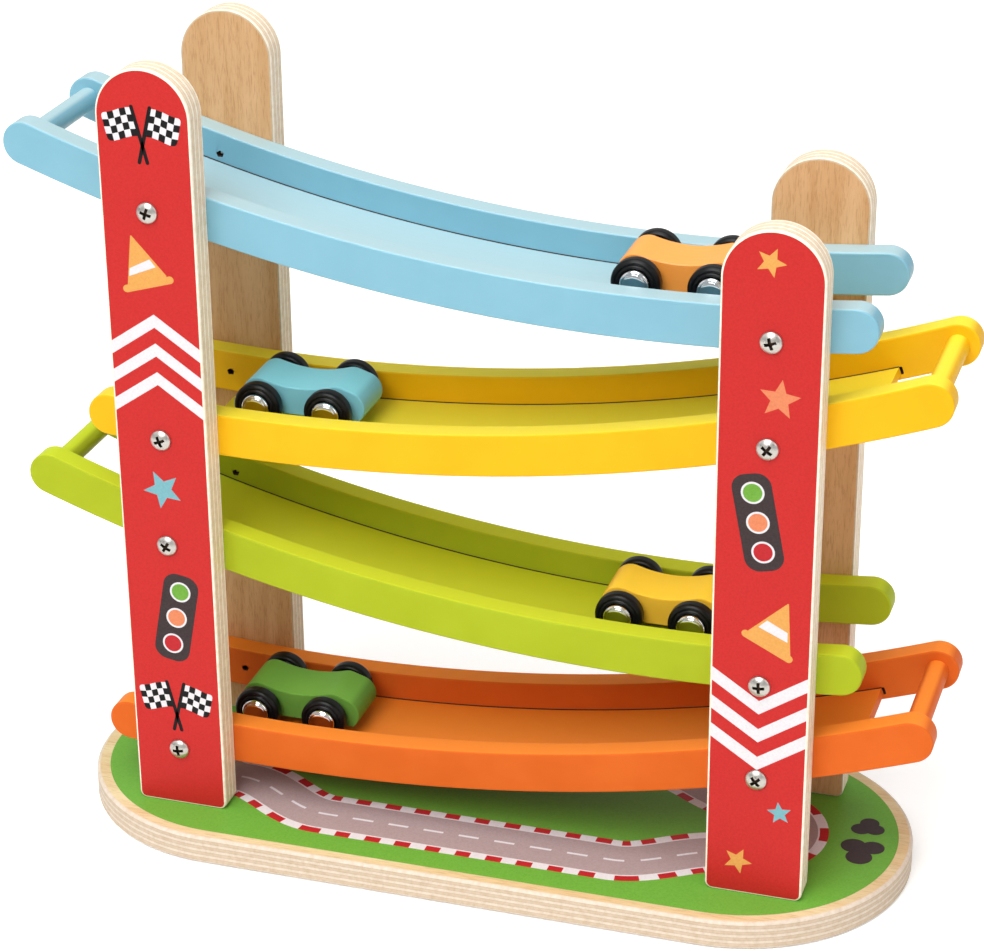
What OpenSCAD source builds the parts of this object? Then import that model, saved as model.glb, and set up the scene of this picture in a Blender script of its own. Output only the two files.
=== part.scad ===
// Click clack track: four curved tracks between two pairs of posts on a round-ended base.
// A small car rolls down each track, drops through the open low end and rolls back on the next.
// The origin is in the middle of the base's underside, +X to the viewer's right, +Z up.

/* [Base] */
// Length of the base board over its round ends
base_length = 344; // [310:1:400]
// Width of the base board
base_width = 140; // [125:1:170]
// Thickness of the base board
base_thick = 12; // [8:1:18]

/* [Posts] */
// Width of each post
post_width = 38; // [28:1:46]
// Thickness of each post
post_thick = 12; // [8:1:16]
// Distance from the middle of a post to the base's nearer end
post_end_inset = 53; // [45:1:62]
// Height of the two left posts above the top track's lowest running point
left_post_rise = 85.7; // [66:0.1:110]
// Height of the two right posts above the top track's lowest running point
right_post_rise = 46.2; // [36:0.1:90]
// Corner radius at the foot of each post
post_foot_radius = 3; // [1:0.5:8]

/* [Tracks] */
// Clear width between the two rails of a track
track_width = 50; // [44:1:60]
// Radius of the curved running surface
floor_radius = 720; // [660:10:860]
// Distance from a track's lowest point to the middle of its low-side post
track_low_inset = 43; // [36:1:50]
// Height of the orange track's lowest running point above the base
orange_track_height = 21.3; // [16:0.1:40]
// Drop from the green track to the orange track
green_drop = 66; // [58:1:80]
// Drop from the yellow track to the green track
yellow_drop = 71; // [58:1:85]
// Drop from the blue track to the yellow track
blue_drop = 67; // [58:1:80]

/* [Rails] */
// Thickness of each rail
rail_thick = 10; // [8:0.5:14]
// Height of a rail above the running surface
rail_above_floor = 11.7; // [8:0.1:14]
// Depth of a rail below the running surface
rail_below_floor = 5.3; // [5:0.1:8]
// Height by which a rail's round end stands beyond its long edges
rail_end_swell = 0.1; // [0.05:0.05:0.5]
// Distance along X from the high-side post's middle to the round middle of the rails' ends
rail_high_overhang = 55.5; // [46:0.5:60]
// Distance along X from the low-side post's middle to the round middle of the rails' ends
rail_low_overhang = 27.6; // [23:0.1:32]

/* [Floors] */
// Thickness of each curved floor
floor_thick = 3; // [2:0.5:4]
// Gap along X between the floor's high end and the crossbar's middle
catch_gap = 21.4; // [12:0.1:30]
// Gap along X between the floor's low end, where the car drops, and the rails' round middle
drop_gap = 35.4; // [26:0.1:40]
// Depth of the grooves in the rails that hold the floor's edges
groove_depth = 3; // [2:0.5:5]

/* [Crossbars] */
// Diameter of the round bar across each high end
crossbar_d = 9; // [6:0.5:12]
// Depth of the blind holes in the rails that hold the bar
crossbar_seat = 6; // [4:0.5:7]

/* [Cars] */
// Diameter of a wheel over its tyre
wheel_d = 19; // [17:0.5:22]
// Width of a tyre
tyre_width = 6; // [4:0.5:7]
// Radius of the tyre's outer edges
tyre_edge_radius = 1.8; // [0.5:0.1:1.9]
// Diameter of a hub
hub_d = 11.6; // [9:0.2:13]
// Height of the hub's dome beyond the tyre's side
hub_dome = 1.8; // [1:0.1:3]
// Material left between a hub's axle hole and its dome
hub_wall = 1.5; // [1:0.1:2]
// Distance between the middles of a left and a right wheel
wheel_track = 32; // [28:0.5:36]
// Distance between a car's two axles
wheelbase = 29; // [26:0.5:34]
// Diameter of an axle
axle_d = 3; // [2:0.1:4]
// Width of a car's body
car_body_width = 22; // [16:0.5:22.4]
// Height of a car's underside above the running surface
car_ground_gap = 5; // [4:0.5:6]
// Height of a car's two humps above the running surface
car_top = 19; // [17:0.5:20]
// Height of the dip between the humps above the running surface
car_dip = 16.5; // [13:0.5:17]
// Radius of the humps and of the nose
hump_radius = 7; // [6:0.5:7.5]
// Distance between the middles of the two humps
hump_spacing = 32.5; // [28:0.5:34]
// Distance from the front hump's middle forward to the nose's middle
nose_reach = 4.5; // [3:0.5:9]
// Drop from the front hump's middle to the nose's middle
nose_drop = 1.5; // [0.5:0.5:3]
// Angle of the orange car past its track's lowest point, uphill below zero
orange_car_angle = 0; // [-10:0.1:1.4]
// Angle of the blue car past its track's lowest point, uphill below zero
blue_car_angle = 0; // [-10:0.1:1.4]
// Angle of the yellow car past its track's lowest point, uphill below zero
yellow_car_angle = -0.4; // [-10:0.1:1.4]
// Angle of the green car past its track's lowest point, uphill below zero
green_car_angle = 0.5; // [-10:0.1:1.4]

/* [Screws] */
// Diameter of the screws that hold the rails to the posts
screw_d = 3.5; // [3:0.1:4]
// Diameter of those screws' pan heads
screw_head_d = 8.4; // [7:0.1:10]
// Height of a pan head
screw_head_height = 2.6; // [2:0.1:3.5]
// Height of a pan head's straight rim
screw_rim_height = 1; // [0.5:0.1:1.5]
// Length of a screw's conical point
screw_point_length = 4; // [2:0.5:6]
// Depth at which a screw's point stops short of the rail's inner face
screw_point_gap = 1; // [0.5:0.1:2]
// Length of each slot of the cross recess in a pan head
recess_length = 4.6; // [3:0.1:5.5]
// Width of each slot of the cross recess
recess_width = 1.2; // [0.8:0.1:1.6]
// Depth of the cross recess
recess_depth = 1.4; // [0.8:0.1:1.6]
// Diameter of the screws that hold the posts to the base
base_screw_d = 3.8; // [3:0.1:4.5]
// Diameter of those screws' countersunk heads
base_screw_head_d = 7.6; // [6:0.1:9]
// Height of a countersunk head
base_screw_head_height = 2.6; // [2:0.1:3.5]
// Depth of a countersunk head below the base's underside
base_screw_sink = 0.5; // [0.2:0.1:1]
// Depth that a base screw bites into a post
base_screw_bite = 14; // [10:1:18]
// Distance between the two base screws of a post
base_screw_spacing = 18; // [14:1:22]

/* [Clearances] */
// Gap around crossbars, screws, floors and tyres in their seats
fit_gap = 0.05; // [0.02:0.01:0.1]
// Gap around an axle in a car's body
running_gap = 0.08; // [0.02:0.01:0.1]
// Gap between a tyre and the running surface
wheel_floor_gap = 0.3; // [0.2:0.05:0.5]
// Gap between a floor's edge and the bottom of its groove
floor_side_gap = 0.3; // [0.1:0.05:0.5]
// Length by which a groove runs past the floor's end
groove_end_gap = 1; // [0.5:0.1:2]
// Gap between a crossbar's end and the bottom of its hole
crossbar_end_gap = 0.3; // [0.1:0.05:0.5]

/* [Hidden] */
// Smoothness of round shapes
$fn = 96;
arc_fn = 1440;

// How far cuts run past the faces that they open
overrun = 1;

// Tracks from the top down: names, heights, the side of the low end and the car on each
TRACKS = [0 : 3];
track_names = ["blue", "yellow", "green", "orange"];
green_track_height = orange_track_height + green_drop;
yellow_track_height = green_track_height + yellow_drop;
blue_track_height = yellow_track_height + blue_drop;
track_heights = [blue_track_height, yellow_track_height, green_track_height, orange_track_height];
track_sides = [1, -1, 1, -1];
track_colours = ["skyblue", "gold", "yellowgreen", "darkorange"];
car_names = ["orange_car", "blue_car", "yellow_car", "green_car"];
car_angles = [orange_car_angle, blue_car_angle, yellow_car_angle, green_car_angle];
car_colours = ["sandybrown", "lightskyblue", "khaki", "mediumseagreen"];

// Left and right, front and rear
SIDES = [-1, 1];
LEFT = -1;
RIGHT = 1;
FRONT = -1;
REAR = 1;

// Rail, groove and floor sizes along the arc's radius
rail_height = rail_above_floor + rail_below_floor;
rail_inner_radius = floor_radius - rail_above_floor;
rail_outer_radius = floor_radius + rail_below_floor;
rail_mid_radius = rail_inner_radius + rail_height / 2;
groove_end_angle = groove_end_gap / floor_radius * 180 / PI;

// Places along the toy: posts, lowest points, and the ends of rails and floors as angles
post_x = base_length / 2 - post_end_inset;
track_low_x = post_x - track_low_inset;
rail_high_reach = post_x + track_low_x + rail_high_overhang;
rail_low_reach = track_low_inset + rail_low_overhang;
rail_high_angle = asin(rail_high_reach / rail_mid_radius);
rail_low_angle = asin(rail_low_reach / rail_mid_radius);
floor_high_angle = asin((rail_high_reach - catch_gap) / floor_radius);
floor_low_angle = asin((rail_low_reach - drop_gap) / floor_radius);

// Heights of the posts above the base
left_post_height = blue_track_height + left_post_rise;
right_post_height = blue_track_height + right_post_rise;

// Depth of a floor's edge in its groove
floor_edge = groove_depth - floor_side_gap;

// Places across the toy
rail_y = track_width / 2 + rail_thick / 2;
post_inner_y = track_width / 2 + rail_thick;
post_outer_y = post_inner_y + post_thick;
post_y = post_inner_y + post_thick / 2;

// Screw lengths under the head
screw_length = post_thick + rail_thick - screw_point_gap;
base_screw_length = base_thick - base_screw_sink + base_screw_bite;

// Wheels and axles
wheel_path_radius = floor_radius - wheel_d / 2 - wheel_floor_gap;
axle_height = floor_radius - sqrt(pow(wheel_path_radius, 2) - pow(wheelbase / 2, 2));
axle_length = wheel_track + tyre_width - 2 * hub_wall;
hub_dome_radius = (pow(hub_d / 2, 2) + pow(hub_dome, 2)) / (2 * hub_dome);

// Car outline: two hump circles and the dip circle that touches both
hump_x = hump_spacing / 2;
hump_z = car_top - hump_radius;
dip_rise = car_dip - hump_z;
dip_radius = (pow(hump_x, 2) + pow(dip_rise, 2) - pow(hump_radius, 2)) / (2 * (hump_radius - dip_rise));
touch_share = hump_radius / (dip_radius + hump_radius);
touch_x = hump_x * (1 - touch_share);
touch_z = hump_z + touch_share * (dip_rise + dip_radius);
nose_x = hump_x + nose_reach;
nose_z = hump_z - nose_drop;
car_length = hump_x + nose_x + 2 * hump_radius;

// Dome of a pan head
screw_dome_height = screw_head_height - screw_rim_height;
screw_dome_radius = (pow(screw_head_d / 2, 2) + pow(screw_dome_height, 2)) / (2 * screw_dome_height);

// Height of a track's lowest running point above the base's underside
function track_z(k) = base_thick + track_heights[k];

// Height of the middle of a track's rails at a place along X
function rail_mid_z(k, x) =
    track_z(k) + floor_radius
    - sqrt(pow(rail_mid_radius, 2) - pow(x - track_sides[k] * track_low_x, 2));

// Moves its children to the middle of a track's arc
module at_arc_centre(k) {
    translate([track_sides[k] * track_low_x, 0, track_z(k) + floor_radius])
        children();
}

// Moves its children to a track, with +X uphill
module in_track(k) {
    at_arc_centre(k)
        mirror([track_sides[k] > 0 ? 1 : 0, 0, 0])
            children();
}

// Moves its children along the arc and out to a radius, with +Z towards the arc's middle
module at_angle(angle, radius) {
    rotate([0, -angle, 0])
        translate([0, 0, -radius])
            children();
}

// A cylinder along Y, centred on the origin
module cross_cylinder(d, length) {
    rotate([90, 0, 0])
        cylinder(d = d, h = length, center = true);
}

// A bar of rectangular section bent about Y, between two angles to +X of straight down
module arc_bar(inner, outer, from, to, width) {
    rotate([90, 0, 0])
        rotate([0, 0, from - 90])
            rotate_extrude(angle = to - from, $fn = arc_fn)
                translate([inner, -width / 2])
                    square([outer - inner, width]);
}

// Base outline: straight sides and full-round ends
module base_outline() {
    straight = base_length - base_width;
    square([straight, base_width], center = true);
    for (s = SIDES)
        translate([s * straight / 2, 0])
            circle(d = base_width);
}

// Calls its children at each of the eight base screws
module at_base_screws() {
    for (sx = SIDES, sy = SIDES, s = SIDES)
        translate([sx * post_x + s * base_screw_spacing / 2, sy * post_y, 0])
            children();
}

// The base board with its countersunk screw holes
module base_board() {
    color("burlywood")
        difference() {
            linear_extrude(base_thick)
                base_outline();
            at_base_screws()
                base_screw_hole();
        }
}

// A countersunk hole up through the base
module base_screw_hole() {
    shank = base_screw_d + 2 * fit_gap;
    head = base_screw_head_d + 2 * fit_gap;
    translate([0, 0, -overrun])
        cylinder(d = head, h = overrun + base_screw_sink);
    translate([0, 0, base_screw_sink])
        cylinder(d1 = head, d2 = shank, h = base_screw_head_height);
    cylinder(d = shank, h = base_thick + overrun);
}

// Post outline: full-round top, small round corners at the foot
module post_outline(height) {
    translate([-post_width / 2, post_foot_radius])
        square([post_width, height - post_width / 2 - post_foot_radius]);
    translate([-post_width / 2 + post_foot_radius, 0])
        square([post_width - 2 * post_foot_radius, post_foot_radius]);
    for (s = SIDES)
        translate([s * (post_width / 2 - post_foot_radius), post_foot_radius])
            circle(post_foot_radius);
    translate([0, height - post_width / 2])
        circle(d = post_width);
}

// A post with four screw holes across it and two up into its foot
module post(sx, sy, height) {
    x = sx * post_x;
    color("firebrick")
        difference() {
            translate([x, sy * post_y + post_thick / 2, base_thick])
                rotate([90, 0, 0])
                    linear_extrude(post_thick)
                        post_outline(height);
            for (k = TRACKS)
                translate([x, sy * post_y, rail_mid_z(k, x)])
                    cross_cylinder(screw_d + 2 * fit_gap, post_thick + 2 * overrun);
            for (s = SIDES)
                translate([x + s * base_screw_spacing / 2, sy * post_y, base_thick - overrun])
                    cylinder(d = base_screw_d + 2 * fit_gap, h = overrun + base_screw_bite + fit_gap);
        }
}

module front_left_post() { post(LEFT, FRONT, left_post_height); }
module front_right_post() { post(RIGHT, FRONT, right_post_height); }
module rear_left_post() { post(LEFT, REAR, left_post_height); }
module rear_right_post() { post(RIGHT, REAR, right_post_height); }

// Pan-head screw with a cross recess, its head above the origin and its shank below
module pan_screw() {
    shank = screw_length - screw_point_length;
    difference() {
        union() {
            rotate_extrude()
                intersection() {
                    square([screw_head_d / 2, screw_head_height]);
                    translate([0, screw_head_height - screw_dome_radius])
                        circle(screw_dome_radius);
                }
            translate([0, 0, -shank])
                cylinder(d = screw_d, h = shank);
            translate([0, 0, -screw_length])
                cylinder(d1 = 0, d2 = screw_d, h = screw_point_length);
        }
        for (turn = [0, 90])
            rotate([0, 0, turn])
                translate([-recess_length / 2, -recess_width / 2, screw_head_height - recess_depth])
                    cube([recess_length, recess_width, recess_depth + overrun]);
    }
}

// The eight screws of the front or the rear pair of posts
module post_screws(sy) {
    color("silver")
        for (sx = SIDES, k = TRACKS)
            translate([sx * post_x, sy * post_outer_y, rail_mid_z(k, sx * post_x)])
                rotate([-sy * 90, 0, 0])
                    pan_screw();
}

module front_post_screws() { post_screws(FRONT); }
module rear_post_screws() { post_screws(REAR); }

// Countersunk screws up through the base into the posts' feet
module base_screws() {
    shank = base_screw_length - screw_point_length;
    color("silver")
        at_base_screws()
            translate([0, 0, base_screw_sink]) {
                cylinder(d1 = base_screw_head_d, d2 = base_screw_d, h = base_screw_head_height);
                cylinder(d = base_screw_d, h = shank);
                translate([0, 0, shank])
                    cylinder(d1 = base_screw_d, d2 = 0, h = screw_point_length);
            }
}

// A curved rail with round ends, a groove for the floor, a blind hole for the crossbar
// and a screw hole at each post
module rail(k, sy) {
    color(track_colours[k])
        difference() {
            translate([0, sy * rail_y, 0])
                in_track(k) {
                    arc_bar(rail_inner_radius, rail_outer_radius,
                        -rail_low_angle, rail_high_angle, rail_thick);
                    for (end = [-rail_low_angle, rail_high_angle])
                        at_angle(end, rail_mid_radius)
                            cross_cylinder(rail_height + 2 * rail_end_swell, rail_thick);
                }
            translate([0, sy * (track_width / 2 + (groove_depth - overrun) / 2), 0])
                in_track(k)
                    arc_bar(floor_radius - fit_gap, floor_radius + floor_thick + fit_gap,
                        -floor_low_angle - groove_end_angle, floor_high_angle + groove_end_angle,
                        groove_depth + overrun);
            translate([0, sy * (track_width / 2 + (crossbar_seat - overrun) / 2), 0])
                in_track(k)
                    at_angle(rail_high_angle, rail_mid_radius)
                        cross_cylinder(crossbar_d + 2 * fit_gap, crossbar_seat + overrun);
            for (sx = SIDES)
                translate([sx * post_x, sy * rail_y, rail_mid_z(k, sx * post_x)])
                    cross_cylinder(screw_d + 2 * fit_gap, rail_thick + 2 * overrun);
        }
}

// The thin curved floor that the car runs on, held in the rails' grooves
module floor_strip(k) {
    color(track_colours[k])
        in_track(k)
            arc_bar(floor_radius, floor_radius + floor_thick,
                -floor_low_angle, floor_high_angle, track_width + 2 * floor_edge);
}

// The round bar across a track's high end
module crossbar(k) {
    color(track_colours[k])
        in_track(k)
            at_angle(rail_high_angle, rail_mid_radius)
                cross_cylinder(crossbar_d, track_width + 2 * (crossbar_seat - crossbar_end_gap));
}

// Moves its children to a car: the origin on the running surface under the car's middle
module at_car(k) {
    at_arc_centre(k)
        at_angle(track_sides[k] * car_angles[k], floor_radius)
            children();
}

// Moves its children to a car's front or rear axle
module at_axle(k, end) {
    at_car(k)
        translate([end * wheelbase / 2, 0, axle_height])
            children();
}

// Side view of a car: a short rounded tail, two humps with a dip between, and a round nose
module car_outline() {
    difference() {
        intersection() {
            union() {
                for (s = SIDES)
                    translate([s * hump_x, hump_z])
                        circle(hump_radius);
                nose_link();
                translate([nose_x, nose_z])
                    circle(hump_radius);
                polygon([
                    [-hump_x - hump_radius, car_ground_gap],
                    [nose_x, car_ground_gap],
                    [nose_x, nose_z],
                    [hump_x, hump_z],
                    [touch_x, touch_z],
                    [-touch_x, touch_z],
                    [-hump_x, hump_z],
                    [-hump_x - hump_radius, hump_z]]);
            }
            translate([-hump_x - hump_radius, car_ground_gap])
                square([car_length, car_top - car_ground_gap]);
        }
        translate([0, car_dip + dip_radius])
            circle(dip_radius, $fn = arc_fn);
    }
}

// Straight stretch from the front hump to the nose, as wide as the circles at its ends
module nose_link() {
    translate([hump_x, hump_z])
        rotate(-atan2(nose_drop, nose_reach))
            translate([0, -hump_radius])
                square([norm([nose_reach, nose_drop]), 2 * hump_radius]);
}

// A car's wooden body with its two axle bores
module car_body(k) {
    color(car_colours[k])
        at_car(k)
            difference() {
                rotate([90, 0, 0])
                    linear_extrude(car_body_width, center = true)
                        car_outline();
                for (end = SIDES)
                    translate([end * wheelbase / 2, 0, axle_height])
                        cross_cylinder(axle_d + 2 * running_gap, car_body_width + 2 * overrun);
            }
}

// A car's front or rear axle, with a wheel pressed on each end
module axle(k, end) {
    color("silver")
        at_axle(k, end)
            cross_cylinder(axle_d, axle_length);
}

// Places its children at an axle's two wheels, with +Z outwards
module at_wheels(k, end) {
    at_axle(k, end)
        for (sy = SIDES)
            translate([0, sy * wheel_track / 2, 0])
                rotate([-sy * 90, 0, 0])
                    children();
}

// A hub: a disc with a domed face outside and a blind hole for the axle inside
module hubs(k, end) {
    hole_depth = tyre_width - hub_wall;
    color("gainsboro")
        at_wheels(k, end)
            difference() {
                rotate_extrude() {
                    translate([0, -tyre_width / 2])
                        square([hub_d / 2, tyre_width]);
                    intersection() {
                        translate([0, tyre_width / 2])
                            square([hub_d / 2, hub_dome]);
                        translate([0, tyre_width / 2 + hub_dome - hub_dome_radius])
                            circle(hub_dome_radius);
                    }
                }
                translate([0, 0, -tyre_width / 2 - overrun])
                    cylinder(d = axle_d + 2 * fit_gap, h = overrun + hole_depth + fit_gap);
            }
}

// A tyre: a ring with round outer edges
module tyres(k, end) {
    inner = hub_d / 2 + fit_gap;
    edge = wheel_d / 2 - tyre_edge_radius;
    half = tyre_width / 2;
    color("dimgray")
        at_wheels(k, end)
            rotate_extrude() {
                translate([inner, -half])
                    square([edge - inner, tyre_width]);
                translate([inner, tyre_edge_radius - half])
                    square([wheel_d / 2 - inner, tyre_width - 2 * tyre_edge_radius]);
                for (s = SIDES)
                    translate([edge, s * (half - tyre_edge_radius)])
                        circle(tyre_edge_radius);
            }
}

base_board();
front_left_post();
front_right_post();
rear_left_post();
rear_right_post();
front_post_screws();
rear_post_screws();
base_screws();
for (k = TRACKS) {
    rail(k, FRONT);
    rail(k, REAR);
    floor_strip(k);
    crossbar(k);
    car_body(k);
    axle(k, RIGHT);
    hubs(k, RIGHT);
    tyres(k, RIGHT);
    axle(k, LEFT);
    hubs(k, LEFT);
    tyres(k, LEFT);
}
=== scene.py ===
"""Dresses the click clack track: plywood posts and base, painted tracks and four little cars.

Lengths are in millimetres until a mesh is written. +X runs along the tracks to the viewer's
right, +Y to the back and +Z up, and the origin is in the middle of the base's underside.
"""

from __future__ import annotations

import logging
import math
from dataclasses import dataclass, replace
from enum import Enum
from typing import Sequence

import bmesh
import bpy
import numpy as np
from mathutils import Matrix, Vector

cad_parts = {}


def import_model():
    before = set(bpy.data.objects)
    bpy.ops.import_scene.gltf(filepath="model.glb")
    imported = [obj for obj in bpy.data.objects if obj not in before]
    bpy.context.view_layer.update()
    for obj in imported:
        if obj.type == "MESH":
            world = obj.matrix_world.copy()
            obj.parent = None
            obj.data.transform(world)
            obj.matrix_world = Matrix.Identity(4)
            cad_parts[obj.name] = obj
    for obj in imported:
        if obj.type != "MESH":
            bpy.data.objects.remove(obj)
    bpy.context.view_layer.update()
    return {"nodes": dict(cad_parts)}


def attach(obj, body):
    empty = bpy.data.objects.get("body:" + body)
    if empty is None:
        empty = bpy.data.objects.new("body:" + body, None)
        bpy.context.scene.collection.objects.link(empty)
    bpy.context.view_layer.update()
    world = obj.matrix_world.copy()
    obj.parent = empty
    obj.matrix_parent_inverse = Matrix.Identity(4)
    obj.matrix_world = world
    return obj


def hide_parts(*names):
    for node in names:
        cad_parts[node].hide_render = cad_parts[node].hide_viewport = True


LOG = logging.getLogger("click_clack_track")
Array = np.ndarray
Pair = tuple[float, float]
Triple = tuple[float, float, float]
Inputs = dict[str | int, object]
MM = 0.001
# Points of a piece that lie closer than this, in metres, become one
MERGE = 1e-7
# How deep the fine relief of a finish looks, in metres
RELIEF = 0.2 * MM


class Side(Enum):
    """The two ends of the X axis and of the Y axis, as a sign."""

    LEFT = -1
    RIGHT = 1
    FRONT = -2
    REAR = 2

    @property
    def sign(self) -> int:
        """Gives -1 for left and front and +1 for right and rear."""
        return 1 if self.value > 0 else -1


# Finishes


def linear(hex_colour: str) -> tuple[float, float, float, float]:
    """Turns an sRGB hex colour such as D8433F into linear light with full opacity.

    Args:
        hex_colour: Six hexadecimal digits.

    Returns:
        Red, green, blue and alpha.
    """
    parts = [int(hex_colour[i : i + 2], 16) / 255 for i in (0, 2, 4)]
    curve = [c / 12.92 if c <= 0.04045 else ((c + 0.055) / 1.055) ** 2.4 for c in parts]
    return curve[0], curve[1], curve[2], 1.0


def add_node(
    tree: bpy.types.NodeTree, kind: str, inputs: Inputs | None = None, **settings: object
) -> bpy.types.Node:
    """Adds one shader node, sets it up and joins it to the nodes before it.

    Args:
        tree: The material's node tree.
        kind: The node's type.
        inputs: Values or output sockets, by input name or number.
        **settings: The node's own properties.

    Returns:
        The new node.
    """
    node = tree.nodes.new(kind)
    for name, value in settings.items():
        setattr(node, name, value)
    for socket, value in (inputs or {}).items():
        if isinstance(value, bpy.types.NodeSocket):
            tree.links.new(value, node.inputs[socket])
        else:
            node.inputs[socket].default_value = value
    return node


def set_ramp(node: bpy.types.Node, stops: Sequence[tuple[float, str]]) -> None:
    """Sets a colour ramp's stops from places and sRGB hex colours.

    Args:
        node: The ramp.
        stops: Place from 0 to 1 and colour of each stop.
    """
    ramp = node.color_ramp
    while len(ramp.elements) < len(stops):
        ramp.elements.new(0.5)
    for element, (place, colour) in zip(ramp.elements, stops):
        element.position = place
        element.color = linear(colour)


def mottle(
    tree: bpy.types.NodeTree,
    where: bpy.types.NodeSocket,
    grain_mm: float,
    stops: Sequence[tuple[float, str]],
    **more: float,
) -> tuple[bpy.types.NodeSocket, bpy.types.NodeSocket]:
    """Clouds tones over a surface: noise of a grain's size, and a ramp that colours it.

    Args:
        tree: The material's node tree.
        where: Places on the piece.
        grain_mm: Size of the noise's grain.
        stops: Place from 0 to 1 and colour of each tone.
        **more: The noise's further inputs, such as Detail.

    Returns:
        The bare noise and its colour.
    """
    scale = 1 / (grain_mm * MM)
    noise = add_node(tree, "ShaderNodeTexNoise", {"Vector": where, "Scale": scale, **more})
    tone = add_node(tree, "ShaderNodeValToRGB", {"Fac": noise.outputs["Fac"]})
    set_ramp(tone, stops)
    return noise.outputs["Fac"], tone.outputs["Color"]


@dataclass(frozen=True)
class Finish:
    """A material that is made once and shared by every piece that takes it."""

    name: str

    def material(self) -> bpy.types.Material:
        """Gives the finish's material, made on first use.

        Returns:
            The material.
        """
        made = bpy.data.materials.get(self.name)
        if made is None:
            made = bpy.data.materials.new(self.name)
            made.use_nodes = True
            tree = made.node_tree
            tree.nodes.clear()
            places = add_node(tree, "ShaderNodeTexCoord").outputs
            shader = add_node(tree, "ShaderNodeBsdfPrincipled", self.look(tree, places))
            add_node(tree, "ShaderNodeOutputMaterial", {"Surface": shader.outputs["BSDF"]})
        return made

    def look(self, tree: bpy.types.NodeTree, places: bpy.types.NodeOutputs) -> Inputs:
        """Adds the finish's own patterns.

        Args:
            tree: The material's node tree.
            places: Texture coordinates by name.

        Returns:
            What the patterns and the real material give the shader, by input name.
        """
        raise NotImplementedError


@dataclass(frozen=True)
class SprayedPaint(Finish):
    """Gloss paint sprayed on smooth hardwood: even colour, with the grain just felt under it.

    The paler top tone is painted light: the brightness of the lit tops is painted into the colour.
    It comes in where the share of a face's normal that points up passes painted_light_from, and
    is full at painted_light_full.
    """

    colour: str
    shade: str
    painted_top_light: str
    gloss: float
    roughness: float = 0.38
    patch_mm: float = 34.0
    grain_mm: float = 1.6
    grain_run: Triple = (0.06, 1.0, 1.0)
    painted_light_from: float = 0.7
    painted_light_full: float = 0.92

    def look(self, tree: bpy.types.NodeTree, places: bpy.types.NodeOutputs) -> Inputs:
        """Mixes near tones in soft patches, paints light on the faces that look up and presses in a
        grain.

        Args:
            tree: The material's node tree.
            places: Texture coordinates by name.

        Returns:
            The shader's inputs.
        """
        stops = ((0.3, self.shade), (0.62, self.colour))
        _, tone = mottle(tree, places["Object"], self.patch_mm, stops, Detail=3.0, Roughness=0.6)
        # Painted light: faces that look up are mixed towards the paler top tone, as if lit from
        # above
        facing = add_node(tree, "ShaderNodeSeparateXYZ", {"Vector": places["Normal"]})
        top_light_share = add_node(
            tree,
            "ShaderNodeMapRange",
            {
                "Value": facing.outputs["Z"],
                "From Min": self.painted_light_from,
                "From Max": self.painted_light_full,
            },
        )
        painted_light_mix = add_node(
            tree,
            "ShaderNodeMixRGB",
            {"Fac": top_light_share.outputs["Result"], "Color1": tone, "Color2": linear(self.painted_top_light)},
        )
        along = add_node(
            tree, "ShaderNodeMapping", {"Vector": places["Object"], "Scale": self.grain_run}
        )
        grain = add_node(
            tree,
            "ShaderNodeTexNoise",
            {"Vector": along.outputs["Vector"], "Scale": 1 / (self.grain_mm * MM), "Detail": 4.0},
        ).outputs["Fac"]
        sheen = add_node(
            tree,
            "ShaderNodeMapRange",
            {
                "Value": grain,
                "From Min": 0.3,
                "From Max": 0.7,
                "To Min": self.roughness - 0.05,
                "To Max": self.roughness + 0.07,
            },
        )
        relief = {"Height": grain, "Strength": 0.1, "Distance": RELIEF}
        return {
            "Base Color": painted_light_mix.outputs["Color"],
            "Roughness": sheen.outputs["Result"],
            "Normal": add_node(tree, "ShaderNodeBump", relief).outputs["Normal"],
            "IOR": 1.48,
            "Specular IOR Level": self.gloss,
        }


@dataclass(frozen=True)
class ScreenInk(Finish):
    """Opaque screen-printed ink under a thin varnish: a flat colour with a fine speckle.

    The speckle of real ink is too fine to show, so it is drawn as coarse as the render needs.
    """

    colour: str
    shade: str
    roughness: float = 0.34
    speckle_mm: float = 0.9

    def look(self, tree: bpy.types.NodeTree, places: bpy.types.NodeOutputs) -> Inputs:
        """Speckles the ink between two near tones, with a relief to match.

        Args:
            tree: The material's node tree.
            places: Texture coordinates by name.

        Returns:
            The shader's inputs.
        """
        stops = ((0.33, self.shade), (0.6, self.colour))
        speckle, tone = mottle(
            tree, places["Object"], self.speckle_mm, stops, Detail=3.0, Roughness=0.7
        )
        relief = {"Height": speckle, "Strength": 0.12, "Distance": RELIEF}
        return {
            "Base Color": tone,
            "Normal": add_node(tree, "ShaderNodeBump", relief).outputs["Normal"],
            "Roughness": self.roughness,
            "IOR": 1.5,
            "Specular IOR Level": 0.14,
        }


class PlyAxis(Enum):
    """The axis across a board's plies."""

    Y = "Y"
    Z = "Z"


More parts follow.
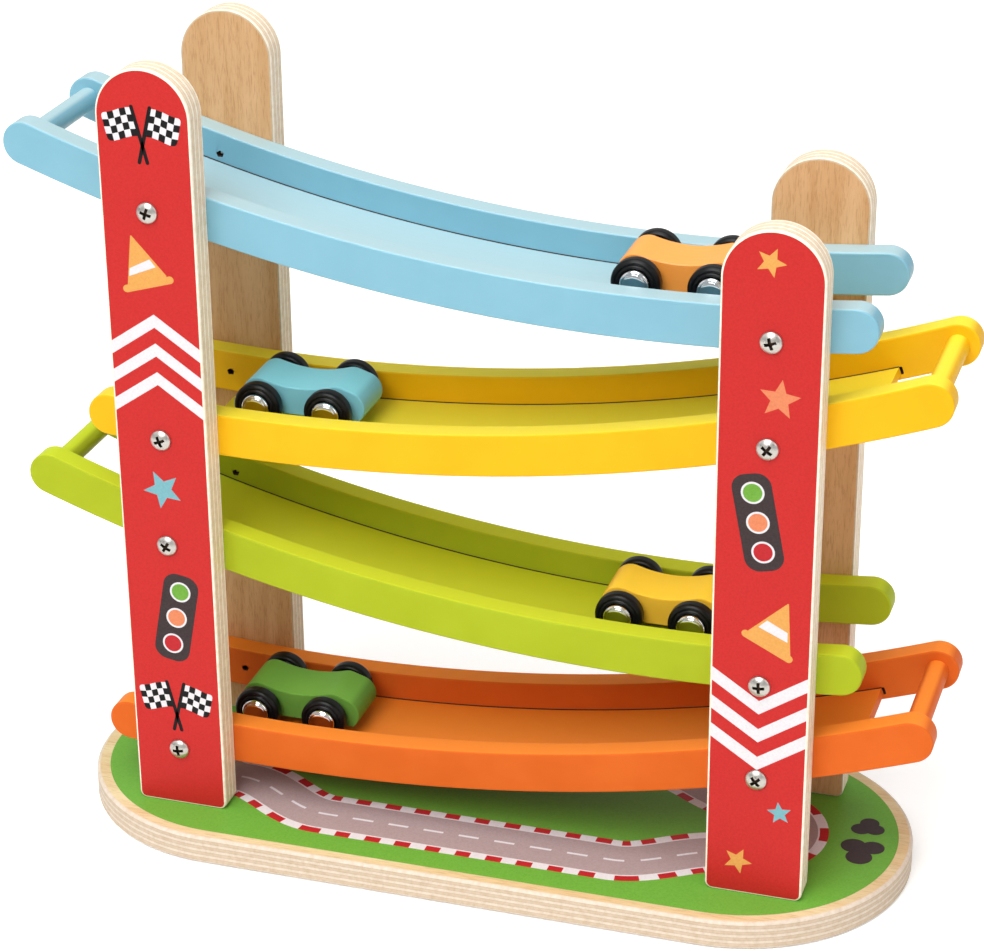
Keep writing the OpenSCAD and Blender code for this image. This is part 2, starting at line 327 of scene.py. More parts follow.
@dataclass(frozen=True)
class PlywoodEdge(Finish):
    """Sanded birch plywood edge: pale long-grain plies, darker end-grain plies, thin glue lines."""

    axis: PlyAxis
    outer_mm: float
    ply_mm: float
    pale: str = "FBF0DE"
    dark: str = "EFD8BA"
    glue: str = "B7A287"
    dust: str = "E1D5C3"
    fibre_mm: float = 2.4

    def look(self, tree: bpy.types.NodeTree, places: bpy.types.NodeOutputs) -> Inputs:
        """Counts plies inwards from the face, tints every other one and draws the glue lines.

        Args:
            tree: The material's node tree.
            places: Texture coordinates by name.

        Returns:
            The shader's inputs.
        """
        parts = add_node(tree, "ShaderNodeSeparateXYZ", {"Vector": places["Object"]})
        across = parts.outputs[self.axis.value]
        away = add_node(tree, "ShaderNodeMath", {0: across}, operation="ABSOLUTE")
        pairs = add_node(
            tree,
            "ShaderNodeMapRange",
            {
                "Value": away.outputs[0],
                "From Min": self.outer_mm * MM,
                "From Max": (self.outer_mm - 2 * self.ply_mm) * MM,
            },
            clamp=False,
        )
        share = add_node(tree, "ShaderNodeMath", {0: pairs.outputs["Result"]}, operation="FRACT")
        plies = add_node(tree, "ShaderNodeValToRGB", {"Fac": share.outputs[0]})
        pale_ply = ((0.0, self.pale), (0.42, self.pale), (0.47, self.glue))
        dark_ply = ((0.53, self.dark), (0.93, self.dark), (0.97, self.glue))
        set_ramp(plies, pale_ply + dark_ply)
        stops = ((0.3, self.dust), (0.6, "FFFFFF"))
        fibre, stain = mottle(
            tree, places["Object"], self.fibre_mm, stops, Detail=5.0, Roughness=0.65
        )
        wood = add_node(
            tree,
            "ShaderNodeMixRGB",
            {"Fac": 0.55, "Color1": plies.outputs["Color"], "Color2": stain},
            blend_type="MULTIPLY",
        )
        relief = {"Height": fibre, "Strength": 0.12, "Distance": RELIEF}
        return {
            "Base Color": wood.outputs["Color"],
            "Normal": add_node(tree, "ShaderNodeBump", relief).outputs["Normal"],
            "Roughness": 0.5,
            "IOR": 1.5,
            "Specular IOR Level": 0.2,
        }


@dataclass(frozen=True)
class BirchVeneer(Finish):
    """Clear-varnished birch face veneer: warm tan, long soft figure and short dark pores."""

    pale: str
    dark: str
    grain: Triple
    pore: str = "C9B08C"
    figure_mm: float = 9.0
    pore_mm: float = 0.55

    def look(self, tree: bpy.types.NodeTree, places: bpy.types.NodeOutputs) -> Inputs:
        """Stretches noise along the grain for the figure, and finer noise for the pores.

        Args:
            tree: The material's node tree.
            places: Texture coordinates by name.

        Returns:
            The shader's inputs.
        """
        run = {"Vector": places["Object"], "Scale": self.grain}
        along = add_node(tree, "ShaderNodeMapping", run).outputs["Vector"]
        stops = ((0.32, self.dark), (0.66, self.pale))
        _, tone = mottle(tree, along, self.figure_mm, stops, Detail=4.0, Distortion=0.8)
        stops = ((0.34, self.pore), (0.5, "FFFFFF"))
        pores, flecks = mottle(tree, along, self.pore_mm, stops, Detail=3.0, Roughness=0.75)
        wood = add_node(
            tree,
            "ShaderNodeMixRGB",
            {"Fac": 0.45, "Color1": tone, "Color2": flecks},
            blend_type="MULTIPLY",
        )
        relief = {"Height": pores, "Strength": 0.1, "Distance": RELIEF}
        return {
            "Base Color": wood.outputs["Color"],
            "Normal": add_node(tree, "ShaderNodeBump", relief).outputs["Normal"],
            "Roughness": 0.45,
            "IOR": 1.5,
            "Specular IOR Level": 0.2,
        }


@dataclass(frozen=True)
class MouldedRubber(Finish):
    """Moulded black rubber: near black, soft sheen, with a fine dusty grain."""

    colour: str = "0A0A0B"
    worn: str = "171718"
    dust_mm: float = 1.3

    def look(self, tree: bpy.types.NodeTree, places: bpy.types.NodeOutputs) -> Inputs:
        """Dusts the black with a slightly lighter grain.

        Args:
            tree: The material's node tree.
            places: Texture coordinates by name.

        Returns:
            The shader's inputs.
        """
        stops = ((0.4, self.colour), (0.75, self.worn))
        _, tone = mottle(tree, places["Object"], self.dust_mm, stops, Detail=4.0, Roughness=0.7)
        return {"Base Color": tone, "Roughness": 0.34, "IOR": 1.52, "Specular IOR Level": 0.22}


@dataclass(frozen=True)
class PlatedMetal(Finish):
    """Plated steel: a bright metal whose polish is broken by faint turning marks."""

    colour: str
    roughness: float
    spread: float
    mark_mm: float = 1.1

    def look(self, tree: bpy.types.NodeTree, places: bpy.types.NodeOutputs) -> Inputs:
        """Varies the polish slightly over the surface.

        Args:
            tree: The material's node tree.
            places: Texture coordinates by name.

        Returns:
            The shader's inputs.
        """
        marks = add_node(
            tree,
            "ShaderNodeTexNoise",
            {"Vector": places["Object"], "Scale": 1 / (self.mark_mm * MM), "Detail": 3.0},
        )
        polish = add_node(
            tree,
            "ShaderNodeMapRange",
            {
                "Value": marks.outputs["Fac"],
                "From Min": 0.3,
                "From Max": 0.7,
                "To Min": self.roughness - self.spread,
                "To Max": self.roughness + self.spread,
            },
        )
        return {
            "Base Color": linear(self.colour),
            "Roughness": polish.outputs["Result"],
            "Metallic": 1.0,
        }


@dataclass(frozen=True)
class PaintedShadeWood(Finish):
    """Bare drilled wood deep in a hole: rough, and dark brown with painted shade."""

    colour: str = "2A1C12"
    splinter: str = "4A3422"
    splinter_mm: float = 0.7

    def look(self, tree: bpy.types.NodeTree, places: bpy.types.NodeOutputs) -> Inputs:
        """Mottles the bore's painted shade with splinter tones.

        Args:
            tree: The material's node tree.
            places: Texture coordinates by name.

        Returns:
            The shader's inputs.
        """
        stops = ((0.4, self.colour), (0.7, self.splinter))
        _, tone = mottle(tree, places["Object"], self.splinter_mm, stops, Detail=2.0)
        return {"Base Color": tone, "Roughness": 0.9}


@dataclass(frozen=True)
class StudioPaper(Finish):
    """White paper sweep under the toy: matt and almost even."""

    colour: str = "F6F6F5"
    shade: str = "F2F2F1"
    glow: float = 0.28
    cloud_mm: float = 1000 / 3

    def look(self, tree: bpy.types.NodeTree, places: bpy.types.NodeOutputs) -> Inputs:
        """Clouds the white very slightly, and lifts it to full white for the camera alone.

        Args:
            tree: The material's node tree.
            places: Texture coordinates by name.

        Returns:
            The shader's inputs.
        """
        seen = add_node(tree, "ShaderNodeLightPath").outputs["Is Camera Ray"]
        lift = add_node(tree, "ShaderNodeMath", {0: seen, 1: self.glow}, operation="MULTIPLY")
        stops = ((0.35, self.shade), (0.65, self.colour))
        _, tone = mottle(tree, places["Object"], self.cloud_mm, stops)
        return {
            "Base Color": tone,
            "Roughness": 0.85,
            "Emission Color": linear("FFFFFF"),
            "Emission Strength": lift.outputs[0],
        }


# Sanded plywood edges give cream and tan stripes. A post's plies are counted inwards from its
# printed face, and the base's downwards from its top
POST_EDGE = PlywoodEdge("birch_plywood_post_edge", PlyAxis.Y, 47.0, 12.0 / 7)
BASE_EDGE = PlywoodEdge(
    "birch_plywood_base_edge", PlyAxis.Z, 12.0, 12.0 / 9, "DCCEBE", "D0BCA4"
)
# Varnished veneer gives a warm tan with streaks along the board
POST_VENEER = BirchVeneer("birch_veneer_upright", "D9AE81", "C99A69", (1.0, 1.0, 0.09))
BASE_VENEER = BirchVeneer("birch_veneer_lengthwise", "E3D1A6", "DCBE8E", (0.07, 1.0, 1.0))
# Moulded rubber gives black tyres with a soft light on their shoulders
RUBBER = MouldedRubber("moulded_black_rubber")
# Chrome plating gives a mirror of the white room with the dark toy in it
CHROME = PlatedMetal("chrome_plated_hub", "E4E6E8", 0.07, 0.02)
# Zinc plating gives a paler, blurred shine, and the dark cross of a screw's recess is painted shade
ZINC = PlatedMetal("bright_zinc_screw", "CBC7C0", 0.32, 0.06)
PAINTED_RECESS_SHADE = PlatedMetal("shadowed_screw_recess", "40342B", 0.5, 0.05)
# Bare wood, dark with painted shade, gives the inside of holes and a painted shadow line where a
# floor meets a rail
PAINTED_GAP_SHADE = PaintedShadeWood("painted_shade_drilled_wood")
# Matt paper gives an even white ground that takes soft shadows
PAPER = StudioPaper("white_paper_sweep")


class Ink(Enum):
    """The posts' and the base's inks, which give flat, slightly dusty colours with crisp edges."""

    RED = ScreenInk("red_screen_ink", "C32C29", "B92725")
    WHITE = ScreenInk("white_screen_ink", "E0DCDE", "D9D2D6")
    BLACK = ScreenInk("black_screen_ink", "191617", "131012")
    GREY = ScreenInk("charcoal_screen_ink", "403435", "382D2E")
    AMBER = ScreenInk("amber_screen_ink", "DDA055", "D7974B")
    PEACH = ScreenInk("peach_screen_ink", "DB845C", "D57B54")
    SKY = ScreenInk("sky_blue_screen_ink", "79AEB7", "70A5AE")
    LEAF = ScreenInk("leaf_green_screen_ink", "6FA43F", "669C38")
    CLARET = ScreenInk("claret_screen_ink", "B9292E", "AF242A")
    GRASS = ScreenInk("grass_green_screen_ink", "6FAB40", "65A239")
    ROAD = ScreenInk("road_grey_screen_ink", "AE9A99", "A49090")


class Paint(Enum):
    """The tracks' and the cars' paints: clear, even colours, with painted light that makes their
    tops paler.
    """

    SKY_BLUE = SprayedPaint("sky_blue_paint", "79B0C3", "72AABE", "A8C7CE", 0.8)
    YELLOW = SprayedPaint("yellow_paint", "ECB515", "E8AF0F", "F8DB38", 0.14)
    LIME_GREEN = SprayedPaint("lime_green_paint", "A8B528", "A2AF22", "C2D02D", 0.06)
    ORANGE = SprayedPaint("orange_paint", "D96726", "D36021", "F58832", 0.06)
    TANGERINE = SprayedPaint("tangerine_body_paint", "F59C40", "EF9438", "F9A84B", 0.6)
    AZURE = SprayedPaint("azure_body_paint", "7FC2CF", "78BAC8", "90DAE4", 0.2)
    CANARY = SprayedPaint("canary_body_paint", "EDBC3C", "E7B534", "FFDA42", 0.04)
    LEAF = SprayedPaint("leaf_body_paint", "68993F", "619138", "79AF4A", 0.06)


# Shapes


@dataclass(frozen=True)
class Plane:
    """A flat working plane in space: an origin, two axes that lie in it and the axis out of it."""

    origin: Triple
    across: Triple
    up: Triple

    def place(self, flat: Array, height: Array | float) -> Array:
        """Carries flat points into space: origin + a * across + b * up + h * out.

        Args:
            flat: Points in the plane, with a and b last.
            height: Height of each point, or of all of them, out of the plane.

        Returns:
            The points in space, with x, y and z last.
        """
        across, up = np.array(self.across), np.array(self.up)
        out = np.cross(across, up)
        rise = np.broadcast_to(np.asarray(height, float), flat.shape[:-1])
        return (
            np.array(self.origin)
            + flat[..., :1] * across
            + flat[..., 1:] * up
            + rise[..., None] * out
        )


UPRIGHT = Plane((0, 0, 0), (1, 0, 0), (0, 0, 1))
LEVEL = Plane((0, 0, 0), (1, 0, 0), (0, 1, 0))


def outward(row: Side, origin: Triple) -> Plane:
    """Gives the upright plane at an origin that looks out to the front or to the rear."""
    return Plane(origin, (-row.sign, 0, 0), (0, 0, 1))


def unit(rows: Array) -> Array:
    """Gives each row's direction with a length of one."""
    return rows / np.linalg.norm(rows, axis=1, keepdims=True)


def turned(flat: Array, angle: float) -> Array:
    """Turns flat points anticlockwise about the origin: (a cos - b sin, a sin + b cos).

    Args:
        flat: The points, one to a row.
        angle: The turn in degrees.

    Returns:
        As many points, turned.
    """
    cos, sin = math.cos(math.radians(angle)), math.sin(math.radians(angle))
    return flat @ np.array([[cos, sin], [-sin, cos]])


def mirrored(half: Array, signs: Pair) -> Array:
    """Closes an outline from one half: the same points times a pair of signs, in reverse."""
    return np.concatenate([half, half[::-1] * signs])


def arc(centre: Sequence[float], radius: float, start: float, end: float, count: int) -> Array:
    """Points on a circle from one angle to another, in degrees, both ends included.

    Args:
        centre: The circle's middle.
        radius: Its radius.
        start: First angle, anticlockwise from +a.
        end: Last angle.
        count: Number of points.

    Returns:
        The points, one to a row.
    """
    turn = np.radians(np.linspace(start, end, count))
    return np.array(centre) + radius * np.stack([np.cos(turn), np.sin(turn)], -1)


def disc(centre: Sequence[float], radius: float) -> Array:
    """Outline of a full circle: a point at every ten degrees."""
    return arc(centre, radius, 0, 350, 36)


def capsule(start: Sequence[float], end: Sequence[float], width: float) -> Array:
    """Outline of a straight bar with full-round ends: a half circle about each end.

    Args:
        start: Middle of the first round end.
        end: Middle of the other.
        width: The bar's width.

    Returns:
        The outline's points.
    """
    lean = math.degrees(math.atan2(end[1] - start[1], end[0] - start[0]))
    ends = ((end, lean - 90), (start, lean + 90))
    return np.concatenate([arc(middle, width / 2, a, a + 180, 13) for middle, a in ends])


def inset(outline: Array, distance: float, least_share: float = 0.3) -> Array:
    """Moves a closed anticlockwise outline inwards by a distance, square to its edges.

    The step at a corner is the sum of its two edge normals over one plus their product.

    Args:
        outline: The outline's points in order.
        distance: How far inwards.
        least_share: Least divisor, which holds back the step at a sharp corner.

    Returns:
        As many points, moved.
    """
    ahead = unit(np.roll(outline, -1, 0) - outline)
    normal = np.stack([-ahead[:, 1], ahead[:, 0]], -1)
    before = np.roll(normal, 1, 0)
    share = 1 + (normal * before).sum(1, keepdims=True)
    return outline + distance * (normal + before) / np.maximum(share, least_share)


def eased(outline: Array, reach: float) -> Array:
    """Cuts an outline's corners back, with a point past each cut that keeps the sides flat.

    A corner gives the points at -2, -1, 1 and 2 times the reach along its two sides.

    Args:
        outline: The outline's corners in order.
        reach: How far each corner is cut back.

    Returns:
        Four points for each corner.
    """
    ahead = unit(np.roll(outline, -1, 0) - outline)
    before = np.roll(ahead, 1, 0)
    steps = [-2 * reach * before, -reach * before, reach * ahead, 2 * reach * ahead]
    return np.stack([outline + step for step in steps], 1).reshape(-1, 2)


def eased_steps(start: float, end: float, count: int, reach: float) -> Array:
    """Even steps from start to end, with one more close to each end that keeps it crisp."""
    return np.sort(np.append(np.linspace(start, end, count), [start + reach, end - reach]))


class Surface:
    """Points and faces of one piece, gathered in millimetres, each face with a finish."""

    def __init__(self) -> None:
        """Starts with no points and no faces."""
        self.points: list[Array] = []
        self.count = 0
        self.faces: list[Array] = []
        self.finish: list[Array] = []
        self.smooth: list[Array] = []
        self.palette: list[Finish] = []

    def add_points(self, points: Array) -> Array:
        """Takes in points of any array shape.

        Args:
            points: The points, with x, y and z last.

        Returns:
            Their numbers, in the same shape.
        """
        shape = points.shape[:-1]
        numbers = self.count + np.arange(int(np.prod(shape))).reshape(shape)
        self.points.append(points.reshape(-1, 3))
        self.count += numbers.size
        return numbers

    def add_faces(self, corners: Array, finish: Finish, smooth: bool = False) -> None:
        """Takes in faces with equally many corners.

        Args:
            corners: Point numbers, one face to a row.
            finish: What the faces are made of.
            smooth: Whether they shade as one curved surface.
        """
        if finish not in self.palette:
            self.palette.append(finish)
        self.faces.append(corners)
        self.finish.append(np.full(len(corners), self.palette.index(finish)))
        self.smooth.append(np.full(len(corners), smooth))

    def add_band(self, rows: Array, finish: Finish, smooth: bool = True) -> None:
        """Joins rows of point numbers into quads, each row closed on itself.

        Args:
            rows: Point numbers, one closed ring to a row.
            finish: What the band is made of.
            smooth: Whether it shades as one curved surface.
        """
        ring = np.concatenate([rows, rows[:, :1]], 1)
        quads = np.stack([ring[:-1, :-1], ring[1:, :-1], ring[1:, 1:], ring[:-1, 1:]], -1)
        self.add_faces(quads.reshape(-1, 4), finish, smooth)

    def mesh(self, name: str) -> bpy.types.Mesh:
        """Writes the mesh in metres, closes its poles and turns its faces outwards.

        Args:
            name: The mesh's name.

        Returns:
            The finished mesh.
        """
        mesh = bpy.data.meshes.new(name)
        corners = np.concatenate([f.ravel() for f in self.faces])
        sizes = np.concatenate([np.full(len(f), f.shape[1]) for f in self.faces])
        starts = np.concatenate([[0], np.cumsum(sizes)[:-1]])
        points = np.concatenate(self.points) * MM
        finishes = np.concatenate(self.finish)
        mesh.vertices.add(len(points))
        mesh.vertices.foreach_set("co", points.ravel())
        mesh.loops.add(len(corners))
        mesh.loops.foreach_set("vertex_index", corners.astype(np.int32))
        mesh.polygons.add(len(sizes))
        mesh.polygons.foreach_set("loop_start", starts.astype(np.int32))
        mesh.polygons.foreach_set("material_index", finishes.astype(np.int32))
        mesh.polygons.foreach_set("use_smooth", np.concatenate(self.smooth))
        for finish in self.palette:
            mesh.materials.append(finish.material())
        mesh.update(calc_edges=True)
        shell = bmesh.new()
        shell.from_mesh(mesh)
        bmesh.ops.remove_doubles(shell, verts=shell.verts, dist=MERGE)
        bmesh.ops.recalc_face_normals(shell, faces=shell.faces)
        shell.to_mesh(mesh)
        shell.free()
        return mesh

    def piece(self, node: str, work: str, body: str, slot: str) -> None:
        """Makes the piece that stands for one solid and hands it to its body.

        Args:
            node: The solid.
            work: How the piece is finished, which ends its name.
            body: The body that it moves with.
            slot: Not used.
        """
        name = f"{node}_{work}"
        made = bpy.data.objects.new(name, self.mesh(name))
        bpy.context.scene.collection.objects.link(made)
        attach(made, body)
        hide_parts(node)
        LOG.info("%s: %d faces on %s", name, len(made.data.polygons), body)


@dataclass(frozen=True)
class Hole:
    """A blind hole in a slab's face: a round one, or a slot with near-square corners.

    At turn t its rim lies at half_a * |cos t| ** power and half_b * |sin t| ** power with their
    signs, times 1 + ragged * sin 5t, leant over.
    """

    a: float
    b: float
    half_a: float
    half_b: float
    depth: float
    power: float = 1.0
    lean: float = 0.0
    ragged: float = 0.0

    def rim(self) -> Array:
        """Works out 24 points round the rim, the first towards +a.

        Returns:
            The points in the face's plane.
        """
        turn = np.radians(np.arange(0, 360, 15))
        round_rim = np.stack([np.cos(turn), np.sin(turn)], -1)
        shape = np.sign(round_rim) * np.abs(round_rim) ** self.power
        worn = 1 + self.ragged * np.sin(5 * turn)
        rim = worn[:, None] * (self.half_a, self.half_b) * shape
        return turned(rim, self.lean) + (self.a, self.b)


@dataclass(frozen=True)
class SlabFace:
    """A slab's flat face, closed with rungs between opposite points of its rim, round any holes.

    Rung i joins point i of the rim to point N - 1 - i. The rim is held as point numbers (ring) and
    as points in the plane (flat). Inward is -1 where the slab lies below the face, +1 where above.
    """

    surface: Surface
    plane: Plane
    ring: Array
    flat: Array
    height: float
    finish: Finish
    inward: float
    hole_margin: float = 0.6

    def bore(self, hole: Hole) -> Array:
        """Sinks a hole: its rim carried straight in and closed at its depth.

        Args:
            hole: The hole.

        Returns:
            Point numbers of its rim in the face.
        """
        rim = hole.rim()
        heights = (self.height, self.height + self.inward * hole.depth)
        wall = self.surface.add_points(np.stack([self.plane.place(rim, h) for h in heights]))
        # The hole's wall and bottom are dark with painted shade
        self.surface.add_band(wall, PAINTED_GAP_SHADE)
        self.surface.add_faces(wall[1:], PAINTED_GAP_SHADE)
        return wall[0]

    def close(self, holes: Sequence[Hole]) -> None:
        """Lays the rungs, and round each hole two faces that follow the rim and half the hole.

        Args:
            holes: The holes in this face, in one row along it.
        """
        ring, count = self.ring, len(self.ring)
        first = np.arange(count // 2 - 1)
        open_rungs = np.zeros(len(first), bool)
        start = self.flat[: count // 2]
        rung = unit(self.flat[: count // 2 - 1 : -1] - start)
        for hole in holes:
            offset = (hole.a, hole.b) - start
            away = np.abs(rung[:, 0] * offset[:, 1] - rung[:, 1] * offset[:, 0])
            near = np.flatnonzero(away < hole.half_a + self.hole_margin)
            low, high = near[0] - 1, near[-1] + 1
            open_rungs[low:high] = True
            rim = self.bore(hole)
            half = len(rim) // 2
            far_low, far_high = count - 1 - low, count - 1 - high
            upper = [ring[low : high + 1], rim[half::-1]]
            lower = [ring[far_high : far_low + 1], rim[:1], rim[: half - 1 : -1]]
            for side in (upper, lower):
                self.surface.add_faces(np.concatenate(side)[None], self.finish)
            ends = [
                [ring[high], ring[far_high], rim[half]],
                [ring[far_low], ring[low], rim[0]],
            ]
            self.surface.add_faces(np.array(ends), self.finish)
        first = first[~open_rungs]
        rungs = np.stack([ring[first], ring[first + 1], ring[-2 - first], ring[-1 - first]], -1)
        self.surface.add_faces(rungs, self.finish)

    def close_in_two_rows(self, holes: Sequence[Hole]) -> None:
        """Closes a face that has a row of holes on each side of its middle line.

        The middle line's point i is halfway between points i and N - 1 - i of the rim.

        Args:
            holes: The holes in this face, above and below b = 0.
        """
        half = len(self.ring) // 2
        line = (self.flat[:half] + self.flat[: half - 1 : -1]) / 2
        spine = self.surface.add_points(self.plane.place(line, self.height))
        upper = ([self.ring[:half], spine[::-1]], [self.flat[:half], line[::-1]])
        lower = ([spine, self.ring[half:]], [line, self.flat[half:]])
        for (ring, flat), sign in ((upper, 1), (lower, -1)):
            mine = [hole for hole in holes if sign * hole.b > 0]
            replace(self, ring=np.concatenate(ring), flat=np.concatenate(flat)).close(mine)


def add_slab(
    surface: Surface,
    plane: Plane,
    outline: Array,
    low: float,
    high: float,
    edge_radius: float,
    finishes: tuple[Finish, Finish, Finish],
    front_holes: Sequence[Hole] = (),
    back_holes: Sequence[Hole] = (),
    two_rows: bool = False,
    steps: int = 5,
    wall_guard: float = 0.2,
) -> None:
    """A board with rounded edges: the outline carried over a quarter circle, a wall and another.

    At turn t of a quarter circle the ring lies r * (1 - sin t) inside the outline and
    r * (1 - cos t) below the face. A ring just past the quarter circle keeps the wall flat.

    Args:
        surface: The piece.
        plane: The board's plane.
        outline: Anticlockwise outline whose point i lies opposite point N - 1 - i.
        low: Height of the back face out of the plane.
        high: Height of the front face.
        edge_radius: Radius of the rounded edges.
        finishes: Finish of the front, of the edge and of the back.
        front_holes: Holes in the front face.
        back_holes: Holes in the back face.
        two_rows: Whether the back's holes lie on both sides of the middle line.
        steps: Steps round each edge.
        wall_guard: How far past the quarter circle the wall's own ring lies.
    """
    turn = np.linspace(0, math.pi / 2, steps + 1)
    inward = np.append(edge_radius * (1 - np.sin(turn)), 0.0)
    drop = np.append(edge_radius * (1 - np.cos(turn)), edge_radius + wall_guard)
    flats = [inset(outline, d) for d in inward]
    rings = [plane.place(f, high - d) for f, d in zip(flats, drop)]
    rings += [plane.place(f, low + d) for f, d in zip(flats[::-1], drop[::-1])]
    rows = surface.add_points(np.stack(rings))
    front, edge, back = finishes
    surface.add_band(rows, edge)
    SlabFace(surface, plane, rows[0], flats[0], high, front, -1.0).close(front_holes)
    back_face = SlabFace(surface, plane, rows[-1], flats[0], low, back, 1.0)
    if two_rows:
        back_face.close_in_two_rows(back_holes)
    else:
        back_face.close(back_holes)


def add_plate(
    surface: Surface, plane: Plane, outline: Array, low: float, high: float, finish: Finish
) -> None:
    """A thin flat shape with square edges: the outline at two heights, closed on both sides.

    Args:
        surface: The piece.
        plane: The plane that it lies in.
        outline: Its outline.
        low: Height of its underside out of the plane.
        high: Height of its face.
        finish: What it is made of.
    """
    rows = surface.add_points(np.stack([plane.place(outline, high), plane.place(outline, low)]))
    surface.add_band(rows, finish, False)
    surface.add_faces(rows[:1], finish)
    surface.add_faces(rows[1:], finish)


def add_lathe(
    surface: Surface, plane: Plane, profile: Array, count: int, finish: Finish
) -> None:
    """A turned shape: a profile of radius and height carried round the plane's outward axis.

    Point (i, j) is radius i at angle j, at height i. A radius of zero closes the shape, and so
    does a profile that ends where it starts.

    Args:
        surface: The piece.
        plane: The turning plane, with its origin on the axis.
        profile: Radius and height of each point from one end to the other.
        count: Steps round the axis.
        finish: What it is made of.
    """
    turn = np.linspace(0, 2 * math.pi, count, endpoint=False)
    flat = profile[:, :1, None] * np.stack([np.cos(turn), np.sin(turn)], -1)
    height = np.broadcast_to(profile[:, 1:], flat.shape[:-1])
    rows = surface.add_points(plane.place(flat, height))
    surface.add_band(rows, finish)


def add_loft(surface: Surface, rings: Array, finish: Finish) -> None:
    """A bar: closed sections joined one to the next, with the first and the last filled in.

    Args:
        surface: The piece.
        rings: Points in space, one section to a row.
        finish: What it is made of.
    """
    rows = surface.add_points(rings)
    surface.add_band(rows, finish)
    surface.add_faces(rows[:1], finish)
    surface.add_faces(rows[-1:], finish)


# Printed figures


@dataclass(frozen=True)
class PrintBed:
    """A face that is printed on: figures are laid on it as thin films, one level on another."""

    surface: Surface
    plane: Plane
    face: float
    film: float = 0.02

    def lay(self, outline: Array, ink: Ink, level: int = 1) -> None:
        """Lays one flat figure.

        Args:
            outline: The figure's outline in the plane.
            ink: What it is printed with.
            level: How many films it lies up from the face.
        """
        top = self.face + self.film * level
        add_plate(self.surface, self.plane, outline, self.face - self.film, top, ink.value)


@dataclass(frozen=True)
class Star:
    """A five-pointed star."""

    a: float
    b: float
    radius: float
    ink: Ink
    turn: float = 90.0
    waist: float = 0.44

    def draw(self, bed: PrintBed) -> None:
        """Lays ten points at every 36 degrees, by turns on the outer and the inner circle.

        Args:
            bed: The face that it is printed on.
        """
        turn = np.radians(self.turn + 36 * np.arange(10))
        reach = self.radius * np.where(np.arange(10) % 2, self.waist, 1.0)
        points = np.stack([np.cos(turn), np.sin(turn)], -1) * reach[:, None]
        bed.lay(points + (self.a, self.b), self.ink)


@dataclass(frozen=True)
class CrossedFlags:
    """Two chequered flags on crossed poles. The sizes are those of the right-hand flag."""

    b: float
    a: float
    top_edge: tuple[Pair, Pair] = ((3.8, 0.0), (16.2, -2.9))
    low_edge: tuple[Pair, Pair] = ((1.6, -10.9), (13.8, -13.8))
    pole: tuple[Pair, Pair] = ((3.7, 0.2), (-1.6, -21.1))
    pole_width: float = 1.5
    columns: int = 5
    rows: int = 4
    ripple: float = 0.35
    soft_share: float = 0.7

    def check(self, column: int, row: int) -> Array:
        """Works out one check: shares of the way between the flag's edges, rippled by a sine.

        Args:
            column: The check's number from the pole outwards.
            row: Its number from the top down.

        Returns:
            Its outline, with the flag's free corners rounded.
        """
        s = (column + np.array([0, 1, 1, 0])[:, None]) / self.columns
        t = (row + np.array([0, 0, 1, 1])[:, None]) / self.rows
        edges = np.array([self.top_edge, self.low_edge])
        top, low = edges[:, :1] + s * (edges[:, 1:] - edges[:, :1])
        cell = top + t * (low - top)
        cell[:, 1:] += self.ripple * np.sin(2 * math.pi * s)
        if column == self.columns - 1 and row in (0, self.rows - 1):
            return self.rounded(cell, 1 if row == 0 else 2)
        return cell

    def rounded(self, cell: Array, corner: int) -> Array:
        """Rounds one corner of a check: a curve of the second degree from side to side.

        Args:
            cell: The check's four corners.
            corner: Number of the corner to round.

        Returns:
            The outline with six points in place of the corner.
        """
        tip, before, after = cell[corner], cell[corner - 1], cell[(corner + 1) % 4]
        t = np.linspace(0, 1, 6)[:, None]
        start, end = tip + self.soft_share * (before - tip), tip + self.soft_share * (after - tip)
        curve = (1 - t) ** 2 * start + 2 * t * (1 - t) * tip + t**2 * end
        return np.concatenate([cell[:corner], curve, cell[corner + 1 :]])

    def draw(self, bed: PrintBed) -> None:
        """Lays each flag's checks, and then its pole over them.

        Args:
            bed: The face that they are printed on.
        """
        for side in (-1, 1):
            for column in range(self.columns):
                for row in range(self.rows):
                    ink = Ink.BLACK if (column + row) % 2 else Ink.WHITE
                    bed.lay(self.check(column, row) * (side, 1) + (self.a, self.b), ink)
            start, end = np.array(self.pole) * (side, 1) + (self.a, self.b)
            bed.lay(capsule(start, end, self.pole_width), Ink.BLACK, 2)


@dataclass(frozen=True)
class RoadCone:
    """A leaning traffic cone with one white band and a round-ended foot."""

    body: tuple[Pair, ...]
    band: tuple[Pair, ...]
    foot: tuple[Pair, Pair]
    foot_width: float = 3.0
    corner: float = 0.5

    def draw(self, bed: PrintBed) -> None:
        """Lays the cone's body, its foot and the band over it.

        Args:
            bed: The face that it is printed on.
        """
        bed.lay(eased(np.array(self.body), self.corner), Ink.AMBER)
        bed.lay(capsule(*self.foot, self.foot_width), Ink.AMBER, 2)
        bed.lay(np.array(self.band), Ink.WHITE, 3)


@dataclass(frozen=True)
class Chevrons:
    """Chevrons across the whole face, one below another."""

    apex: float
    rise: float
    thick: float
    pitch: float
    half_width: float = 18.2
    count: int = 3

    def draw(self, bed: PrintBed) -> None:
        """Lays each chevron as two slanting bars that meet in the middle.

        Args:
            bed: The face that they are printed on.
        """
        edge = np.array([[-self.half_width, self.rise], [0, 0], [self.half_width, self.rise]])
        shape = np.concatenate([edge - (0, self.thick), edge[::-1]])
        for step in range(self.count):
            bed.lay(shape + (0, self.apex - step * self.pitch), Ink.WHITE)


